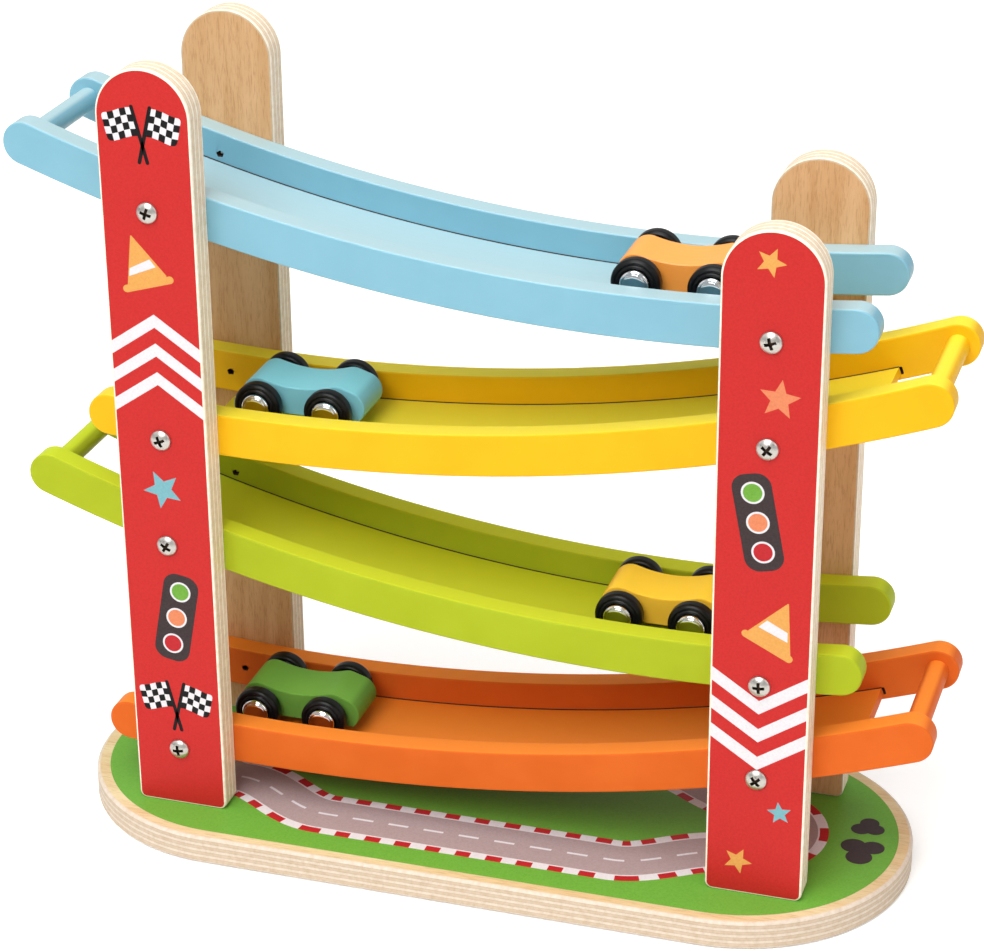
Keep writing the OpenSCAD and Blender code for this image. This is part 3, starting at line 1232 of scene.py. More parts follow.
@dataclass(frozen=True)
class SignalLamps:
    """Traffic lights: three ringed lamps in a leaning dark housing."""

    top: Pair
    bottom: Pair
    width: float = 15.0
    reach: float = 7.6
    corner: float = 5.5
    lamp: float = 3.6
    ring: float = 4.4

    def draw(self, bed: PrintBed) -> None:
        """Lays the housing as a rounded box round the lamps' line, then rings and lamps.

        Args:
            bed: The face that they are printed on.
        """
        top, bottom = np.array(self.top), np.array(self.bottom)
        along = top - bottom
        lean = math.degrees(math.atan2(along[1], along[0]))
        half = np.array([math.hypot(*along) / 2 + self.reach, self.width / 2]) - self.corner
        corners = (((1, 1), 0), ((-1, 1), 90), ((-1, -1), 180), ((1, -1), 270))
        box = [arc(half * signs, self.corner, a, a + 90, 9) for signs, a in corners]
        bed.lay(turned(np.concatenate(box), lean) + (top + bottom) / 2, Ink.GREY)
        for share, ink in ((1.0, Ink.LEAF), (0.5, Ink.PEACH), (0.0, Ink.CLARET)):
            middle = bottom + share * along
            bed.lay(disc(middle, self.ring), Ink.WHITE, 2)
            bed.lay(disc(middle, self.lamp), ink, 3)


@dataclass(frozen=True)
class RoadLoop:
    """A closed road: a straight along each side, drawn in at both ends to a round bend."""

    straight_y: float = 38.2
    bend_radius: float = 20.0
    bend_x: float = 104.0
    draw_in_x: float = 60.0
    road_width: float = 21.0
    line_width: float = 0.7
    kerb_width: float = 3.6
    kerb_cell: float = 6.4
    dash: float = 8.5
    dash_pitch: float = 15.0
    dash_width: float = 1.2
    side_points: int = 800
    bend_points: int = 160
    points: int = 1200

    def centre(self) -> tuple[Array, Array, Array]:
        """Works out the road's middle line, its outward normal and the length along it.

        Along the sides y is the bend's radius plus half the remaining width times one plus the
        cosine of the way from the straight's end to the bend. The ends are half circles.

        Returns:
            Points, normals and lengths from the start, evenly spaced, closed.
        """
        x = np.linspace(-self.bend_x, self.bend_x, self.side_points)
        way = np.clip((np.abs(x) - self.draw_in_x) / (self.bend_x - self.draw_in_x), 0, 1)
        swell = (self.straight_y - self.bend_radius) * (1 + np.cos(math.pi * way)) / 2
        side = np.stack([x, -self.bend_radius - swell], -1)
        end = arc((self.bend_x, 0), self.bend_radius, -90, 90, self.bend_points)[1:-1]
        loop = np.concatenate([side, end, -side, -end, side[:1]])
        length = np.append(0, np.cumsum(np.linalg.norm(np.diff(loop, axis=0), axis=1)))
        even = np.linspace(0, length[-1], self.points + 1)
        line = np.stack([np.interp(even, length, loop[:, i]) for i in (0, 1)], -1)
        ahead = unit(np.roll(line[:-1], -1, 0) - np.roll(line[:-1], 1, 0))
        ahead = np.concatenate([ahead, ahead[:1]])
        return line, np.stack([ahead[:, 1], -ahead[:, 0]], -1), even

    def draw(self, bed: PrintBed) -> None:
        """Lays the road, its white edge lines, the chequered kerbs and the middle dashes.

        Args:
            bed: The face that it is printed on.
        """
        line, out, length = self.centre()
        half = self.road_width / 2
        cells = 2 * round(length[-1] / self.kerb_cell / 2)
        cuts = np.linspace(0, self.points, cells + 1).round().astype(int)
        self.ring(bed, line[:-1], out[:-1], -half, half, Ink.ROAD, 2)
        for sign in (-1, 1):
            outer = sign * (half + self.line_width)
            far = outer + sign * self.kerb_width
            self.ring(bed, line[:-1], out[:-1], sign * half, outer, Ink.WHITE, 3)
            for i, (start, end) in enumerate(zip(cuts[:-1], cuts[1:])):
                part = slice(start, end + 1)
                edges = [line[part] + outer * out[part], (line[part] + far * out[part])[::-1]]
                bed.lay(np.concatenate(edges), Ink.CLARET if i % 2 else Ink.WHITE, 2)
        for i in range(round(length[-1] / self.dash_pitch)):
            start = int(np.searchsorted(length, i * self.dash_pitch))
            end = int(np.searchsorted(length, i * self.dash_pitch + self.dash))
            part = slice(start, min(end, self.points) + 1)
            edge = self.dash_width / 2 * out[part]
            bed.lay(np.concatenate([line[part] - edge, (line[part] + edge)[::-1]]), Ink.WHITE, 3)

    @staticmethod
    def ring(
        bed: PrintBed, line: Array, out: Array, inner: float, outer: float, ink: Ink, level: int
    ) -> None:
        """Lays a closed ribbon between two distances from the middle line.

        Args:
            bed: The face that it is printed on.
            line: The middle line's points.
            out: The normals at those points.
            inner: Distance of one edge along the normal.
            outer: Distance of the other edge.
            ink: What it is printed with.
            level: How many films it lies up from the face.
        """
        top, low = bed.face + bed.film * level, bed.face - bed.film
        edges = ((inner, top), (outer, top), (outer, low), (inner, low))
        rows = bed.surface.add_points(
            np.stack([bed.plane.place(line + d * out, h) for d, h in edges])
        )
        bed.surface.add_band(rows[[0, 1, 2, 3, 0]], ink.value, False)


@dataclass(frozen=True)
class Thicket:
    """A low clump of dark leaves: overlapping rounds, each with its place and radius."""

    a: float
    b: float
    rounds: tuple[Triple, ...]

    def draw(self, bed: PrintBed) -> None:
        """Lays the rounds one on another.

        Args:
            bed: The face that they are printed on.
        """
        for level, (a, b, radius) in enumerate(self.rounds, 2):
            bed.lay(disc((self.a + a, self.b + b), radius), Ink.GREY, level)


Figure = Star | CrossedFlags | RoadCone | Chevrons | SignalLamps | RoadLoop | Thicket

LEFT_FIGURES: tuple[Figure, ...] = (
    CrossedFlags(308.1, -0.35),
    RoadCone(
        ((-7.6, 258.2), (-10.0, 237.0), (6.6, 242.6)),
        ((-8.7, 244.6), (-9.1, 241.4), (2.0, 246.0), (-0.4, 248.9)),
        ((-10.4, 236.2), (7.6, 241.4)),
    ),
    Chevrons(226.7, -12.5, 5.3, 11.8),
    Star(-0.6, 153.5, 8.3, Ink.SKY, 116.6),
    SignalLamps((4.2, 109.4), (-0.2, 86.0)),
    CrossedFlags(67.7, -0.3),
)
RIGHT_FIGURES: tuple[Figure, ...] = (
    Star(-1.1, 271.6, 5.75, Ink.AMBER, 67.4),
    Star(3.7, 220.1, 7.85, Ink.PEACH, 83.7),
    SignalLamps((-5.0, 182.5), (-0.4, 159.1)),
    RoadCone(
        ((9.9, 139.8), (-5.4, 126.0), (11.2, 117.0)),
        ((2.0, 131.5), (-1.2, 128.4), (9.9, 123.4), (9.8, 127.4)),
        ((-6.0, 125.0), (10.6, 116.6)),
    ),
    Chevrons(97.3, 12.1, 5.7, 12.0),
    Star(9.3, 50.1, 4.9, Ink.SKY, 98.5),
    Star(-6.3, 26.4, 5.8, Ink.AMBER, 67.0),
)
BASE_FIGURES: tuple[Figure, ...] = (
    RoadLoop(),
    Thicket(153.0, -3.0, ((0.0, -5.0, 5.3), (-3.6, 2.8, 5.1), (4.0, 3.2, 4.7))),
    Thicket(152.4, 15.4, ((-2.5, -2.2, 4.1), (2.9, -1.4, 3.9), (0.0, 2.9, 3.9))),
)


# The toy


@dataclass(frozen=True)
class BaseBoard:
    """The round-ended plywood base with its printed field, road and thickets."""

    length: float = 344.0
    width: float = 140.0
    thick: float = 12.0
    edge_radius: float = 1.4
    border: float = 5.6
    screw_x: tuple[float, ...] = (-128.0, -110.0, 110.0, 128.0)
    screw_y: float = 41.0
    screw_head: float = 3.85
    screw_sink: float = 2.6
    tip_angle: float = 0.4
    end_points: int = 64
    side_points: int = 70

    def outline(self, margin: float = 0.0) -> Array:
        """Works out the stadium from its right tip round: two half circles and straights.

        Args:
            margin: How far the outline lies inside the board's.

        Returns:
            The points, with none on the tips themselves.
        """
        reach, radius = (self.length - self.width) / 2, self.width / 2 - margin
        side = np.linspace(reach, -reach, self.side_points)[1:-1]
        upper = [
            arc((reach, 0), radius, self.tip_angle, 90, self.end_points),
            np.stack([side, np.full(len(side), radius)], -1),
            arc((-reach, 0), radius, 90, 180 - self.tip_angle, self.end_points),
        ]
        return mirrored(np.concatenate(upper), (1, -1))

    def build(self) -> None:
        """Makes the board with its screw holes and prints its top."""
        surface = Surface()
        holes = [
            Hole(x, y, self.screw_head, self.screw_head, self.screw_sink)
            for x in self.screw_x
            for y in (-self.screw_y, self.screw_y)
        ]
        add_slab(
            surface,
            LEVEL,
            self.outline(),
            0.0,
            self.thick,
            self.edge_radius,
            (BASE_VENEER, BASE_EDGE, BASE_VENEER),
            back_holes=holes,
            two_rows=True,
        )
        bed = PrintBed(surface, LEVEL, self.thick)
        bed.lay(self.outline(self.border), Ink.GRASS)
        for figure in BASE_FIGURES:
            figure.draw(bed)
        surface.piece("base_board", "printed", "stand", "printed_plywood")


@dataclass(frozen=True)
class Post:
    """An upright plywood post: printed red outside, bare veneer inside, plies round its edge."""

    side: Side
    row: Side
    height: float
    figures: tuple[Figure, ...]
    x: float = 119.0
    foot: float = 12.0
    width: float = 38.0
    inner: float = 35.0
    outer: float = 47.0
    foot_radius: float = 3.0
    edge_radius: float = 0.8
    tip_angle: float = 0.6
    wall_guard: float = 0.6
    top_points: int = 48
    foot_points: int = 9

    def outline(self) -> Array:
        """Works out the outline from the top down its left side and back up its right side.

        The top is a half circle, the sides are straight and the foot's corners are small arcs.

        Returns:
            The points, with none on the top's tip itself.
        """
        half, top = self.width / 2, self.foot + self.height - self.width / 2
        corner = (self.foot_radius - half, self.foot + self.foot_radius)
        left = [
            arc((0, top), half, 90 + self.tip_angle, 180, self.top_points),
            [[-half, top - self.wall_guard], [-half, corner[1] + self.wall_guard]],
            arc(corner, self.foot_radius, 180, 270, self.foot_points),
        ]
        return mirrored(np.concatenate(left), (-1, 1))

    def build(self) -> None:
        """Makes the post and prints its outer face."""
        surface = Surface()
        plane = outward(self.row, (self.side.sign * self.x, 0, 0))
        finishes = (Ink.RED.value, POST_EDGE, POST_VENEER)
        add_slab(
            surface, plane, self.outline(), self.inner, self.outer, self.edge_radius, finishes
        )
        bed = PrintBed(surface, plane, self.outer)
        for figure in self.figures:
            figure.draw(bed)
        name = f"{self.row.name}_{self.side.name}_post".lower()
        surface.piece(name, "printed", "stand", "printed_plywood")


@dataclass(frozen=True)
class Track:
    """A curved track: two rails, the thin floor between them and the bar across its high end.

    Angles are in degrees about the middle of the track's arc, from its lowest point.
    """

    name: str
    low_side: Side
    height: float
    paint: Paint
    low_x: float = 76.0
    floor_radius: float = 720.0
    rail_inner: float = 708.3
    rail_outer: float = 725.3
    high_angle: float = 20.4549
    low_angle: float = 5.65241
    floor_high: float = 18.5538
    floor_low: float = 2.80224
    floor_thick: float = 3.0
    half_width: float = 25.0
    rail_thick: float = 10.0
    edge_radius: float = 0.8
    tip_angle: float = 2.0
    end_points: int = 23
    side_points: int = 260
    seam_width: float = 0.4
    seam_depth: float = 0.7
    shadow_line_rise: float = 0.27
    shadow_line_skin: float = 0.08
    floor_corner: float = 0.08
    floor_points: int = 120
    floor_guard: float = 0.02
    bar_radius: float = 4.5
    bar_seat: float = 0.4
    bar_points: int = 9
    bar_guard: float = 0.2
    bar_sides: int = 64
    screw_x: float = 119.0
    tip_hole: Pair = (1.5, 1.275)
    tip_depth: float = 3.0
    tip_ragged: float = 0.1
    groove_half: float = 1.1
    groove_slack: float = 0.05
    groove_depth: float = 2.5
    groove_power: float = 0.3

    @property
    def rail_middle(self) -> float:
        """Gives the radius of the rails' middle line."""
        return (self.rail_inner + self.rail_outer) / 2

    def point(self, angle: Array | float, radius: Array | float) -> Array:
        """Gives x and z on the arc: its centre plus radius times (sin angle, -cos angle).

        Args:
            angle: Degrees to +X of straight down.
            radius: Distance from the arc's centre.

        Returns:
            The points, with x and z last.
        """
        turn, radius = np.broadcast_arrays(np.radians(angle), radius)
        x = self.low_side.sign * self.low_x + radius * np.sin(turn)
        z = self.height + self.floor_radius - radius * np.cos(turn)
        return np.stack([x, z], -1)

    def span(self, high: float, low: float) -> tuple[float, float]:
        """Gives the left and right angle of a stretch from its high and low ends' angles."""
        ends = sorted((-self.low_side.sign * high, self.low_side.sign * low))
        return ends[0], ends[1]

    def screw_height(self, x: float) -> float:
        """Gives the height of the rails' middle line at a place along X."""
        along = x - self.low_side.sign * self.low_x
        return self.height + self.floor_radius - math.sqrt(self.rail_middle**2 - along**2)

    def rail_outline(self) -> Array:
        """Works out a rail's side view from its right tip round.

        It is a half circle about each end, joined by two arcs about the track's centre.

        Returns:
            The points, with none on the tips themselves.
        """
        left, right = self.span(self.high_angle, self.low_angle)
        left_end, right_end = (self.point(angle, self.rail_middle) for angle in (left, right))
        radius = (self.rail_outer - self.rail_inner) / 2
        tip, count = self.tip_angle, self.end_points
        along = np.linspace(right, left, self.side_points)[1:-1]
        return np.concatenate(
            [
                arc(right_end, radius, right + tip, right + 90, count),
                self.point(along, self.rail_inner),
                arc(left_end, radius, left + 90, left + 180 - tip, count),
                arc(left_end, radius, left + 180 + tip, left + 270, count),
                self.point(along[::-1], self.rail_outer),
                arc(right_end, radius, right + 270, right + 360 - tip, count),
            ]
        )

    def inner_holes(self) -> list[Hole]:
        """Works out the holes in a rail's inner face: two screw tips and the groove's ends.

        Returns:
            The holes in the upright plane.
        """
        holes = []
        for x in (-self.screw_x, self.screw_x):
            z = self.screw_height(x)
            holes.append(Hole(x, z, *self.tip_hole, self.tip_depth, ragged=self.tip_ragged))
        half = self.floor_thick / 2
        for angle in self.span(self.floor_high, self.floor_low):
            x, z = self.point(angle, self.floor_radius + half)
            size = (self.groove_half, half + self.groove_slack, self.groove_depth)
            holes.append(Hole(x, z, *size, self.groove_power, angle))
        return holes

    def finish_piece(self, surface: Surface, piece: str) -> None:
        """Hands one painted piece of the track to the stand."""
        surface.piece(f"{self.name}_{piece}", "painted", "stand", f"{self.name}_track_paint")

    def build_rails(self) -> None:
        """Makes the front and the rear rail."""
        near, far = self.half_width, self.half_width + self.rail_thick
        for row in (Side.FRONT, Side.REAR):
            surface = Surface()
            front = row is Side.FRONT
            add_slab(
                surface,
                UPRIGHT,
                self.rail_outline(),
                near if front else -far,
                far if front else -near,
                self.edge_radius,
                (self.paint.value,) * 3,
                front_holes=() if front else self.inner_holes(),
                back_holes=self.inner_holes() if front else (),
            )
            self.finish_piece(surface, f"{row.name.lower()}_rail")

    def build_floor(self) -> None:
        """Makes the floor: a section across the track carried along the arc.

        The section steps down beside each rail, and a skin with painted shade stands in each step,
        a little higher than the floor, as a painted shadow line where floor and rail meet.
        """
        w, edge = self.half_width, self.half_width - self.seam_width
        top, step = self.floor_radius, self.floor_radius + self.seam_depth
        half = np.array([(edge, top), (edge, step), (w, step), (w, top + self.floor_thick)])
        board = eased(mirrored(half, (-1, 1)), self.floor_corner)
        rise, foot = top - self.shadow_line_rise, (top + step) / 2
        sections = [(board, self.paint.value)]
        for outer, inner in ((w, w - self.shadow_line_skin), (self.shadow_line_skin - w, -w)):
            skin = np.array([(outer, rise), (outer, foot), (inner, foot), (inner, rise)])
            # The skin is a painted shadow line along the rail
            sections.append((skin, PAINTED_GAP_SHADE))
        left, right = self.span(self.floor_high, self.floor_low)
        along = eased_steps(left, right, self.floor_points, self.floor_guard)
        surface = Surface()
        for section, finish in sections:
            flat = self.point(along[:, None], section[None, :, 1])
            across = np.broadcast_to(section[:, 0], flat.shape[:-1])
            add_loft(surface, np.stack([flat[..., 0], across, flat[..., 1]], -1), finish)
        self.finish_piece(surface, "floor")

    def build_bar(self) -> None:
        """Makes the round bar across the high end, its ends just inside the rails."""
        x, z = self.point(-self.low_side.sign * self.high_angle, self.rail_middle)
        plane = replace(UPRIGHT, origin=(float(x), 0, float(z)))
        end = self.half_width + self.bar_seat
        heights = eased_steps(-end, end, self.bar_points, self.bar_guard)
        profile = [(0.0, -end), *((self.bar_radius, h) for h in heights), (0.0, end)]
        surface = Surface()
        add_lathe(surface, plane, np.array(profile), self.bar_sides, self.paint.value)
        self.finish_piece(surface, "crossbar")

    def build(self) -> None:
        """Makes the whole track."""
        self.build_rails()
        self.build_floor()
        self.build_bar()


@dataclass(frozen=True)
class PostScrews:
    """The eight pan-head screws on the front or the rear pair of posts."""

    row: Side
    tracks: tuple[Track, ...]
    x: float = 119.0
    face: float = 47.0
    head_radius: float = 4.2
    head_height: float = 2.6
    rim_height: float = 1.0
    rim_drop: float = 0.25
    rim_step: float = 0.075
    dome_from: float = 0.06
    dome_rings: int = 8
    slot_reach: float = 2.3
    slot_half: float = 0.6
    slot_depth: float = 1.5
    slot_taper: float = 0.75
    slot_points: int = 4
    shank_radius: float = 1.75
    shank_length: float = 21.0
    shank_sides: int = 24
    point_length: float = 4.0
    turn_by_track: float = 38.0
    turn_by_side: float = 17.0

    def dome(self, radius: Array) -> Array:
        """Gives the head's height: a cap of a sphere on the straight rim.

        Args:
            radius: Distances from the screw's axis.

        Returns:
            The heights there.
        """
        rise = self.head_height - self.rim_height
        ball = (self.head_radius**2 + rise**2) / (2 * rise)
        inside = np.minimum(radius, self.head_radius)
        return self.head_height - ball + np.sqrt(ball**2 - inside**2)

    def cross(self, turn: float) -> Array:
        """Works out the recess's outline: an arm's three corners turned to the four quarters.

        Args:
            turn: The recess's turn in degrees.

        Returns:
            The corners, with even steps between them.
        """
        reach, half = self.slot_reach, self.slot_half
        arm = np.array([[reach, -half], [reach, half], [half, half]])
        corners = np.concatenate([turned(arm, quarter) for quarter in (0, 90, 180, 270)])
        ahead = np.roll(corners, -1, 0) - corners
        share = np.arange(self.slot_points)[None, :, None] / self.slot_points
        return turned((corners[:, None] + share * ahead[:, None]).reshape(-1, 2), turn)

    def add_screw(self, surface: Surface, plane: Plane, turn: float) -> None:
        """Adds one screw: a dome round a cross-shaped recess, the recess, and the shank.

        A ring of the dome lies some share of the way from the rim's circle to the cross, point by
        point, at the dome's height there. The recess tapers towards its bottom.

        Args:
            surface: The piece.
            plane: The post's face at the screw, outwards.
            turn: The recess's turn in degrees.
        """
        cross, rim = self.cross(turn), self.head_radius
        circle = unit(cross)
        eased_rim = circle * (rim - self.rim_step)
        rings = [
            plane.place(circle * rim, 0.0),
            plane.place(circle * rim, self.rim_height - self.rim_drop),
            plane.place(eased_rim, self.rim_height),
        ]
        for share in np.linspace(self.dome_from, 1.0, self.dome_rings):
            flat = (1 - share) * eased_rim + share * cross
            rings.append(plane.place(flat, self.dome(np.linalg.norm(flat, axis=1))))
        rows = surface.add_points(np.stack(rings))
        surface.add_band(rows, ZINC)
        # The recess's walls and bottom take a dark metal: painted shade where the recess lies in
        # shade
        low = plane.place(cross * self.slot_taper, self.head_height - self.slot_depth)
        pit = np.stack([rows[-1], surface.add_points(low)])
        surface.add_band(pit, PAINTED_RECESS_SHADE, False)
        surface.add_faces(pit[1:], PAINTED_RECESS_SHADE)
        shank, length = self.shank_radius, self.shank_length
        profile = [(rim, 0.0), (shank, 0.0), (shank, self.point_length - length), (0.0, -length)]
        add_lathe(surface, plane, np.array(profile), self.shank_sides, ZINC)

    def build(self) -> None:
        """Makes the row of screws, each with its recess at a turn of its own."""
        surface = Surface()
        for i, track in enumerate(self.tracks):
            for sign in (-1, 1):
                x = sign * self.x
                origin = (x, self.row.sign * self.face, track.screw_height(x))
                turn = (self.turn_by_track * i + self.turn_by_side * sign) % 90
                self.add_screw(surface, outward(self.row, origin), turn)
        surface.piece(f"{self.row.name.lower()}_post_screws", "plated", "stand", "screw_steel")


@dataclass(frozen=True)
class Car:
    """A little wooden car: a body with two humps, and four wheels with rubber tyres.

    The tyre's wall is given as steps out from the hub and in from the tyre's side, and the hub's
    face as shares of its radius and steps down from its top.
    """

    name: str
    track: Track
    rest: float
    paint: Paint
    half_width: float = 11.0
    edge_radius: float = 0.6
    hump_x: float = 16.25
    hump_z: float = 12.0
    hump_radius: float = 7.0
    dip_z: float = 16.5
    nose_x: float = 20.75
    nose_z: float = 10.5
    under: float = 5.0
    tail_corner: float = 1.6
    tip_angle: float = 2.0
    short_arc: int = 13
    long_arc: int = 41
    axle_x: float = 14.5
    axle_z: float = 9.948
    wheel_y: float = 16.0
    tyre_radius: float = 9.5
    tyre_half: float = 3.0
    tyre_slack: float = 0.05
    tyre_bead: tuple[Pair, ...] = ((0.0, -0.9), (0.15, -0.35), (0.45, -0.02), (0.8, 0.0))
    tyre_groove: tuple[Pair, ...] = ((1.1, -0.12), (1.25, -0.5), (1.55, -0.55), (1.75, -0.25))
    shoulder_radius: float = 1.8
    shoulder_from: float = 80.0
    shoulder_points: int = 9
    tyre_sides: int = 72
    hub_radius: float = 5.8
    hub_dome: float = 1.8
    hub_face: tuple[Pair, ...] = ((0.0, -0.2), (0.5, -0.22), (0.73, -0.27), (0.75, -0.35))
    hub_groove: tuple[Pair, ...] = ((0.765, -0.6), (0.785, -0.6), (0.8, -0.36))
    hub_rim_from: float = 0.81
    hub_rim_drop: float = 0.34
    hub_rim_points: int = 12
    hub_front_guard: float = 0.25
    hub_back_guard: float = 0.2
    hub_sides: int = 48

    def plane(self) -> Plane:
        """Works out the car's own upright plane, its origin on the floor under the car's middle.

        Returns:
            The plane, leant as the floor leans there.
        """
        angle = self.track.low_side.sign * self.rest
        x, z = self.track.point(angle, self.track.floor_radius)
        cos, sin = math.cos(math.radians(angle)), math.sin(math.radians(angle))
        return Plane((float(x), 0, float(z)), (cos, 0, sin), (-sin, 0, cos))

    def outline(self) -> Array:
        """Works out the side view from the nose over the humps to the tail and back underneath.

        The top runs over the nose circle, the front hump, the dip circle that touches both humps
        and the rear hump. The underside lies at the same places along the car.

        Returns:
            The points, with none on the nose's tip itself.
        """
        r, x, z = self.hump_radius, self.hump_x, self.hump_z
        rise = self.dip_z - z
        dip = (x**2 + rise**2 - r**2) / (2 * (r - rise))
        touch = math.degrees(math.atan2(rise + dip, x))
        link = 90 - math.degrees(math.atan2(z - self.nose_z, self.nose_x - x))
        chin = math.degrees(math.asin((self.nose_z - self.under) / r))
        nose, dip_middle = (self.nose_x, self.nose_z), (0, self.dip_z + dip)
        top = np.concatenate(
            [
                arc(nose, r, self.tip_angle, chin, self.short_arc),
                arc(nose, r, chin, link, self.short_arc)[1:],
                arc((x, z), r, link, 180 - touch, self.short_arc),
                arc(dip_middle, dip, -touch, touch - 180, self.long_arc)[1:-1],
                arc((-x, z), r, touch, 180, self.long_arc),
            ]
        )
        a, c = top[:, 0], self.tail_corner
        ahead = np.clip(a - self.nose_x, 0, r)
        behind = np.clip(c - x - r - a, 0, c)
        low = np.maximum(self.nose_z - np.sqrt(r**2 - ahead**2), self.under)
        low = low + c - np.sqrt(c**2 - behind**2)
        return np.concatenate([top, np.stack([a, low], -1)[::-1]])

    def build_body(self) -> None:
        """Makes the painted body."""
        surface = Surface()
        add_slab(
            surface,
            self.plane(),
            self.outline(),
            -self.half_width,
            self.half_width,
            self.edge_radius,
            (self.paint.value,) * 3,
        )
        surface.piece(f"{self.name}_body", "painted", self.name, f"{self.name}_paint")

    def tyre_profile(self) -> Array:
        """Works out the tyre's section: a bead by the hub, a groove, a round shoulder, mirrored.

        Returns:
            Radius and height of each point, closed.
        """
        half, round_by = self.tyre_half, self.shoulder_radius
        wall = np.array(self.tyre_bead + self.tyre_groove)
        wall = wall + (self.hub_radius + self.tyre_slack, half)
        middle = (self.tyre_radius - round_by, half - round_by)
        shoulder = arc(middle, round_by, self.shoulder_from, 0, self.shoulder_points)
        loop = mirrored(np.concatenate([wall, shoulder]), (1, -1))
        return np.concatenate([loop, loop[:1]])

    def hub_profile(self) -> Array:
        """Works out the hub's section: a flat face, a fine groove, a round rim, a wall and a back.

        The rim falls as a quarter ellipse.

        Returns:
            Radius and height of each point.
        """
        r, h, start = self.hub_radius, self.tyre_half, self.hub_rim_from
        face = np.array(self.hub_face + self.hub_groove) * (r, 1) + (0, h + self.hub_dome)
        reach = np.linspace(start, 1, self.hub_rim_points)
        fall = np.sqrt(1 - ((reach - start) / (1 - start)) ** 2)
        rim = np.stack([r * reach, h + (self.hub_dome - self.hub_rim_drop) * fall], -1)
        back = [(r, h - self.hub_front_guard), (r, self.hub_back_guard - h), (r, -h), (0.0, -h)]
        return np.concatenate([face, rim, back])

    def build_wheels(self) -> None:
        """Makes the tyres and the hubs of both axles."""
        for end, sign in (("front", 1), ("rear", -1)):
            tyres, hubs = Surface(), Surface()
            axle = np.array([sign * self.axle_x, self.axle_z])
            for row in (Side.FRONT, Side.REAR):
                origin = self.plane().place(axle, -row.sign * self.wheel_y)
                wheel = outward(row, tuple(origin.tolist()))
                add_lathe(tyres, wheel, self.tyre_profile(), self.tyre_sides, RUBBER)
                add_lathe(hubs, wheel, self.hub_profile(), self.hub_sides, CHROME)
            axle_name = f"{self.name}_{end}"
            tyres.piece(f"{axle_name}_tyres", "moulded", f"{axle_name}_wheels", "tyre_rubber")
            hubs.piece(f"{axle_name}_hubs", "plated", f"{axle_name}_wheels", "hub_chrome")

    def build(self) -> None:
        """Makes the whole car."""
        self.build_body()
        self.build_wheels()


@dataclass(frozen=True)
class ClickClackTrack:
    """The whole toy: base, posts, four tracks, screws and four cars."""

    base: BaseBoard = BaseBoard()
    posts: tuple[Post, ...] = tuple(
        Post(side, row, height, figures)
        for row in (Side.FRONT, Side.REAR)
        for side, height, figures in (
            (Side.LEFT, 311.0, LEFT_FIGURES),
            (Side.RIGHT, 271.5, RIGHT_FIGURES),
        )
    )
    tracks: tuple[Track, ...] = (
        Track("blue", Side.RIGHT, 237.3, Paint.SKY_BLUE),
        Track("yellow", Side.LEFT, 170.3, Paint.YELLOW),
        Track("green", Side.RIGHT, 99.3, Paint.LIME_GREEN),
        Track("orange", Side.LEFT, 33.3, Paint.ORANGE),
    )
    # Name, angle at rest on its track and paint of each car, in the tracks' order
    cars: tuple[tuple[str, float, Paint], ...] = (
        ("orange_car", 0.0, Paint.TANGERINE),
        ("blue_car", 0.0, Paint.AZURE),
        ("yellow_car", -0.4, Paint.CANARY),
        ("green_car", 0.5, Paint.LEAF),
    )

    def dress_steel(self, nodes: dict[str, bpy.types.Object]) -> None:
        """Gives the solids that stay in view their bright zinc.

        Args:
            nodes: The frame's solids by name.
        """
        axles = [f"{name}_{end}_axle" for name, _, _ in self.cars for end in ("front", "rear")]
        for name in ["base_screws", *axles]:
            nodes[name].data.materials.clear()
            nodes[name].data.materials.append(ZINC.material())
            LOG.info("%s: kept, with bright zinc", name)

    def build(self, nodes: dict[str, bpy.types.Object]) -> None:
        """Makes every piece in order.

        Args:
            nodes: The frame's solids by name.
        """
        self.base.build()
        for post in self.posts:
            post.build()
        for track, (name, rest, paint) in zip(self.tracks, self.cars):
            track.build()
            Car(name, track, rest, paint).build()
        for row in (Side.FRONT, Side.REAR):
            PostScrews(row, self.tracks).build()
        self.dress_steel(nodes)


# The studio


@dataclass(frozen=True)
class SoftLight:
    """A square lamp with a wide diffuser, aimed at the toy. Lengths are in metres."""

    name: str
    place: Triple
    size: float
    power: float
    aim: Triple = (0.0, 0.0, 0.14)

    def build(self) -> None:
        """Hangs the lamp."""
        lamp = bpy.data.lights.new(self.name, "AREA")
        lamp.shape = "SQUARE"
        lamp.size = self.size
        lamp.energy = self.power
        made = bpy.data.objects.new(self.name, lamp)
        made.location = self.place
        made.rotation_mode = "QUATERNION"
        made.rotation_quaternion = (Vector(self.aim) - Vector(self.place)).to_track_quat("-Z", "Y")
        bpy.context.scene.collection.objects.link(made)


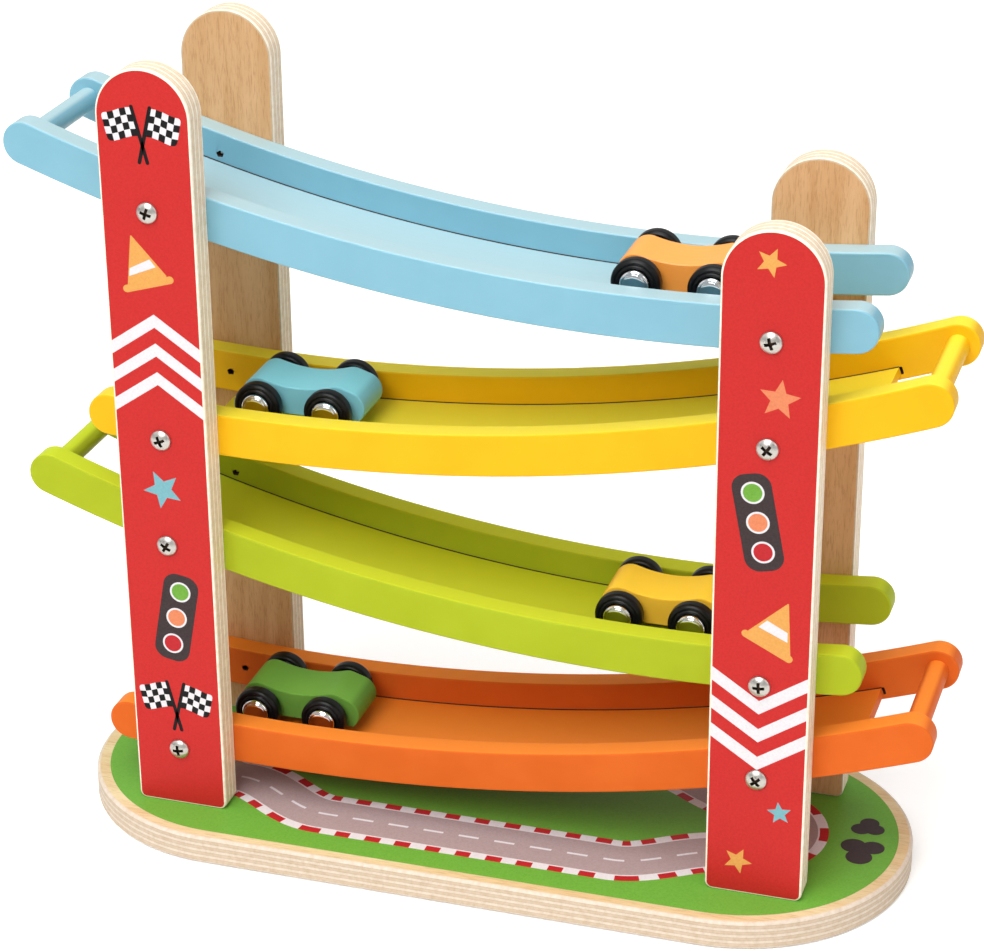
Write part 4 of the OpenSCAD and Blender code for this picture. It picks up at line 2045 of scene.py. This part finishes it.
@dataclass(frozen=True)
class Studio:
    """The white sweep, the soft lights and the camera. The paper's lengths are in metres."""

    eye_mm: Triple = (316.177, -1000.041, 631.607)
    yaw: float = 0.3316092
    pitch: float = 0.4383171
    roll: float = -0.0196135
    focal_px: float = 2941.997
    image_px: tuple[int, int] = (984, 951)
    middle_px: Pair = (424.2, 509.6)
    sensor: float = 36.0
    paper: float = 3.0
    paper_drop: float = 0.0002
    sky: float = 0.47
    backdrop: float = 1.05
    lights: tuple[SoftLight, ...] = (
        SoftLight("overhead_light", (-0.2, -0.4, 3.0), 2.2, 44.0),
        SoftLight("front_light", (-0.3, -2.2, 2.4), 1.8, 66.0),
        SoftLight("left_light", (-2.4, -0.9, 1.5), 1.6, 5.0),
        SoftLight("right_light", (2.4, -0.9, 1.5), 1.6, 10.0),
    )

    def build_camera(self) -> None:
        """Sets the camera by its turn, tilt and roll, with the photo's framing as its shift."""
        yaw, pitch, roll = self.yaw, self.pitch, self.roll
        ahead = Vector(
            (-math.sin(yaw) * math.cos(pitch), math.cos(yaw) * math.cos(pitch), -math.sin(pitch))
        )
        right = Vector((math.cos(yaw), math.sin(yaw), 0.0))
        up = right.cross(ahead)
        across = math.cos(roll) * right + math.sin(roll) * up
        above = -math.sin(roll) * right + math.cos(roll) * up
        wide, high = self.image_px
        lens = bpy.data.cameras.new("camera")
        lens.sensor_fit = "HORIZONTAL"
        lens.sensor_width = self.sensor
        lens.lens = self.focal_px / wide * self.sensor
        lens.shift_x = (wide / 2 - self.middle_px[0]) / wide
        lens.shift_y = (self.middle_px[1] - high / 2) / wide
        lens.clip_start, lens.clip_end = 0.01, 100.0
        made = bpy.data.objects.new("camera", lens)
        turn = Matrix((across, above, -ahead)).transposed().to_4x4()
        made.matrix_world = Matrix.Translation(Vector(self.eye_mm) * MM) @ turn
        bpy.context.scene.collection.objects.link(made)
        bpy.context.scene.camera = made

    def build_sweep(self) -> None:
        """Lays the paper just under the toy."""
        half = self.paper / 2
        signs = ((-1, -1), (1, -1), (1, 1), (-1, 1))
        corners = [(x * half, y * half, -self.paper_drop) for x, y in signs]
        mesh = bpy.data.meshes.new("paper_sweep")
        mesh.from_pydata(corners, [], [(0, 1, 2, 3)])
        mesh.materials.append(PAPER.material())
        sweep = bpy.data.objects.new("paper_sweep", mesh)
        bpy.context.scene.collection.objects.link(sweep)

    def build_room(self) -> None:
        """Makes the room white: dimmer as a light on the toy than as the camera's background."""
        world = bpy.data.worlds.new("white_room")
        world.use_nodes = True
        tree = world.node_tree
        room = tree.nodes["Background"]
        room.inputs["Color"].default_value = linear("FFFFFF")
        seen = add_node(tree, "ShaderNodeLightPath").outputs["Is Camera Ray"]
        glow = add_node(
            tree,
            "ShaderNodeMapRange",
            {"Value": seen, "To Min": self.sky, "To Max": self.backdrop},
        )
        tree.links.new(glow.outputs["Result"], room.inputs["Strength"])
        bpy.context.scene.world = world

    def build(self) -> None:
        """Sets up the studio."""
        self.build_camera()
        self.build_sweep()
        self.build_room()
        for light in self.lights:
            light.build()
        bpy.context.scene.view_settings.view_transform = "Standard"


def main() -> None:
    """Loads the frame, and builds the toy and the studio."""
    logging.basicConfig(level=logging.INFO, format="%(name)s: %(message)s")
    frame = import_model()
    ClickClackTrack().build(frame["nodes"])
    Studio().build()


if __name__ == "__main__":
    main()
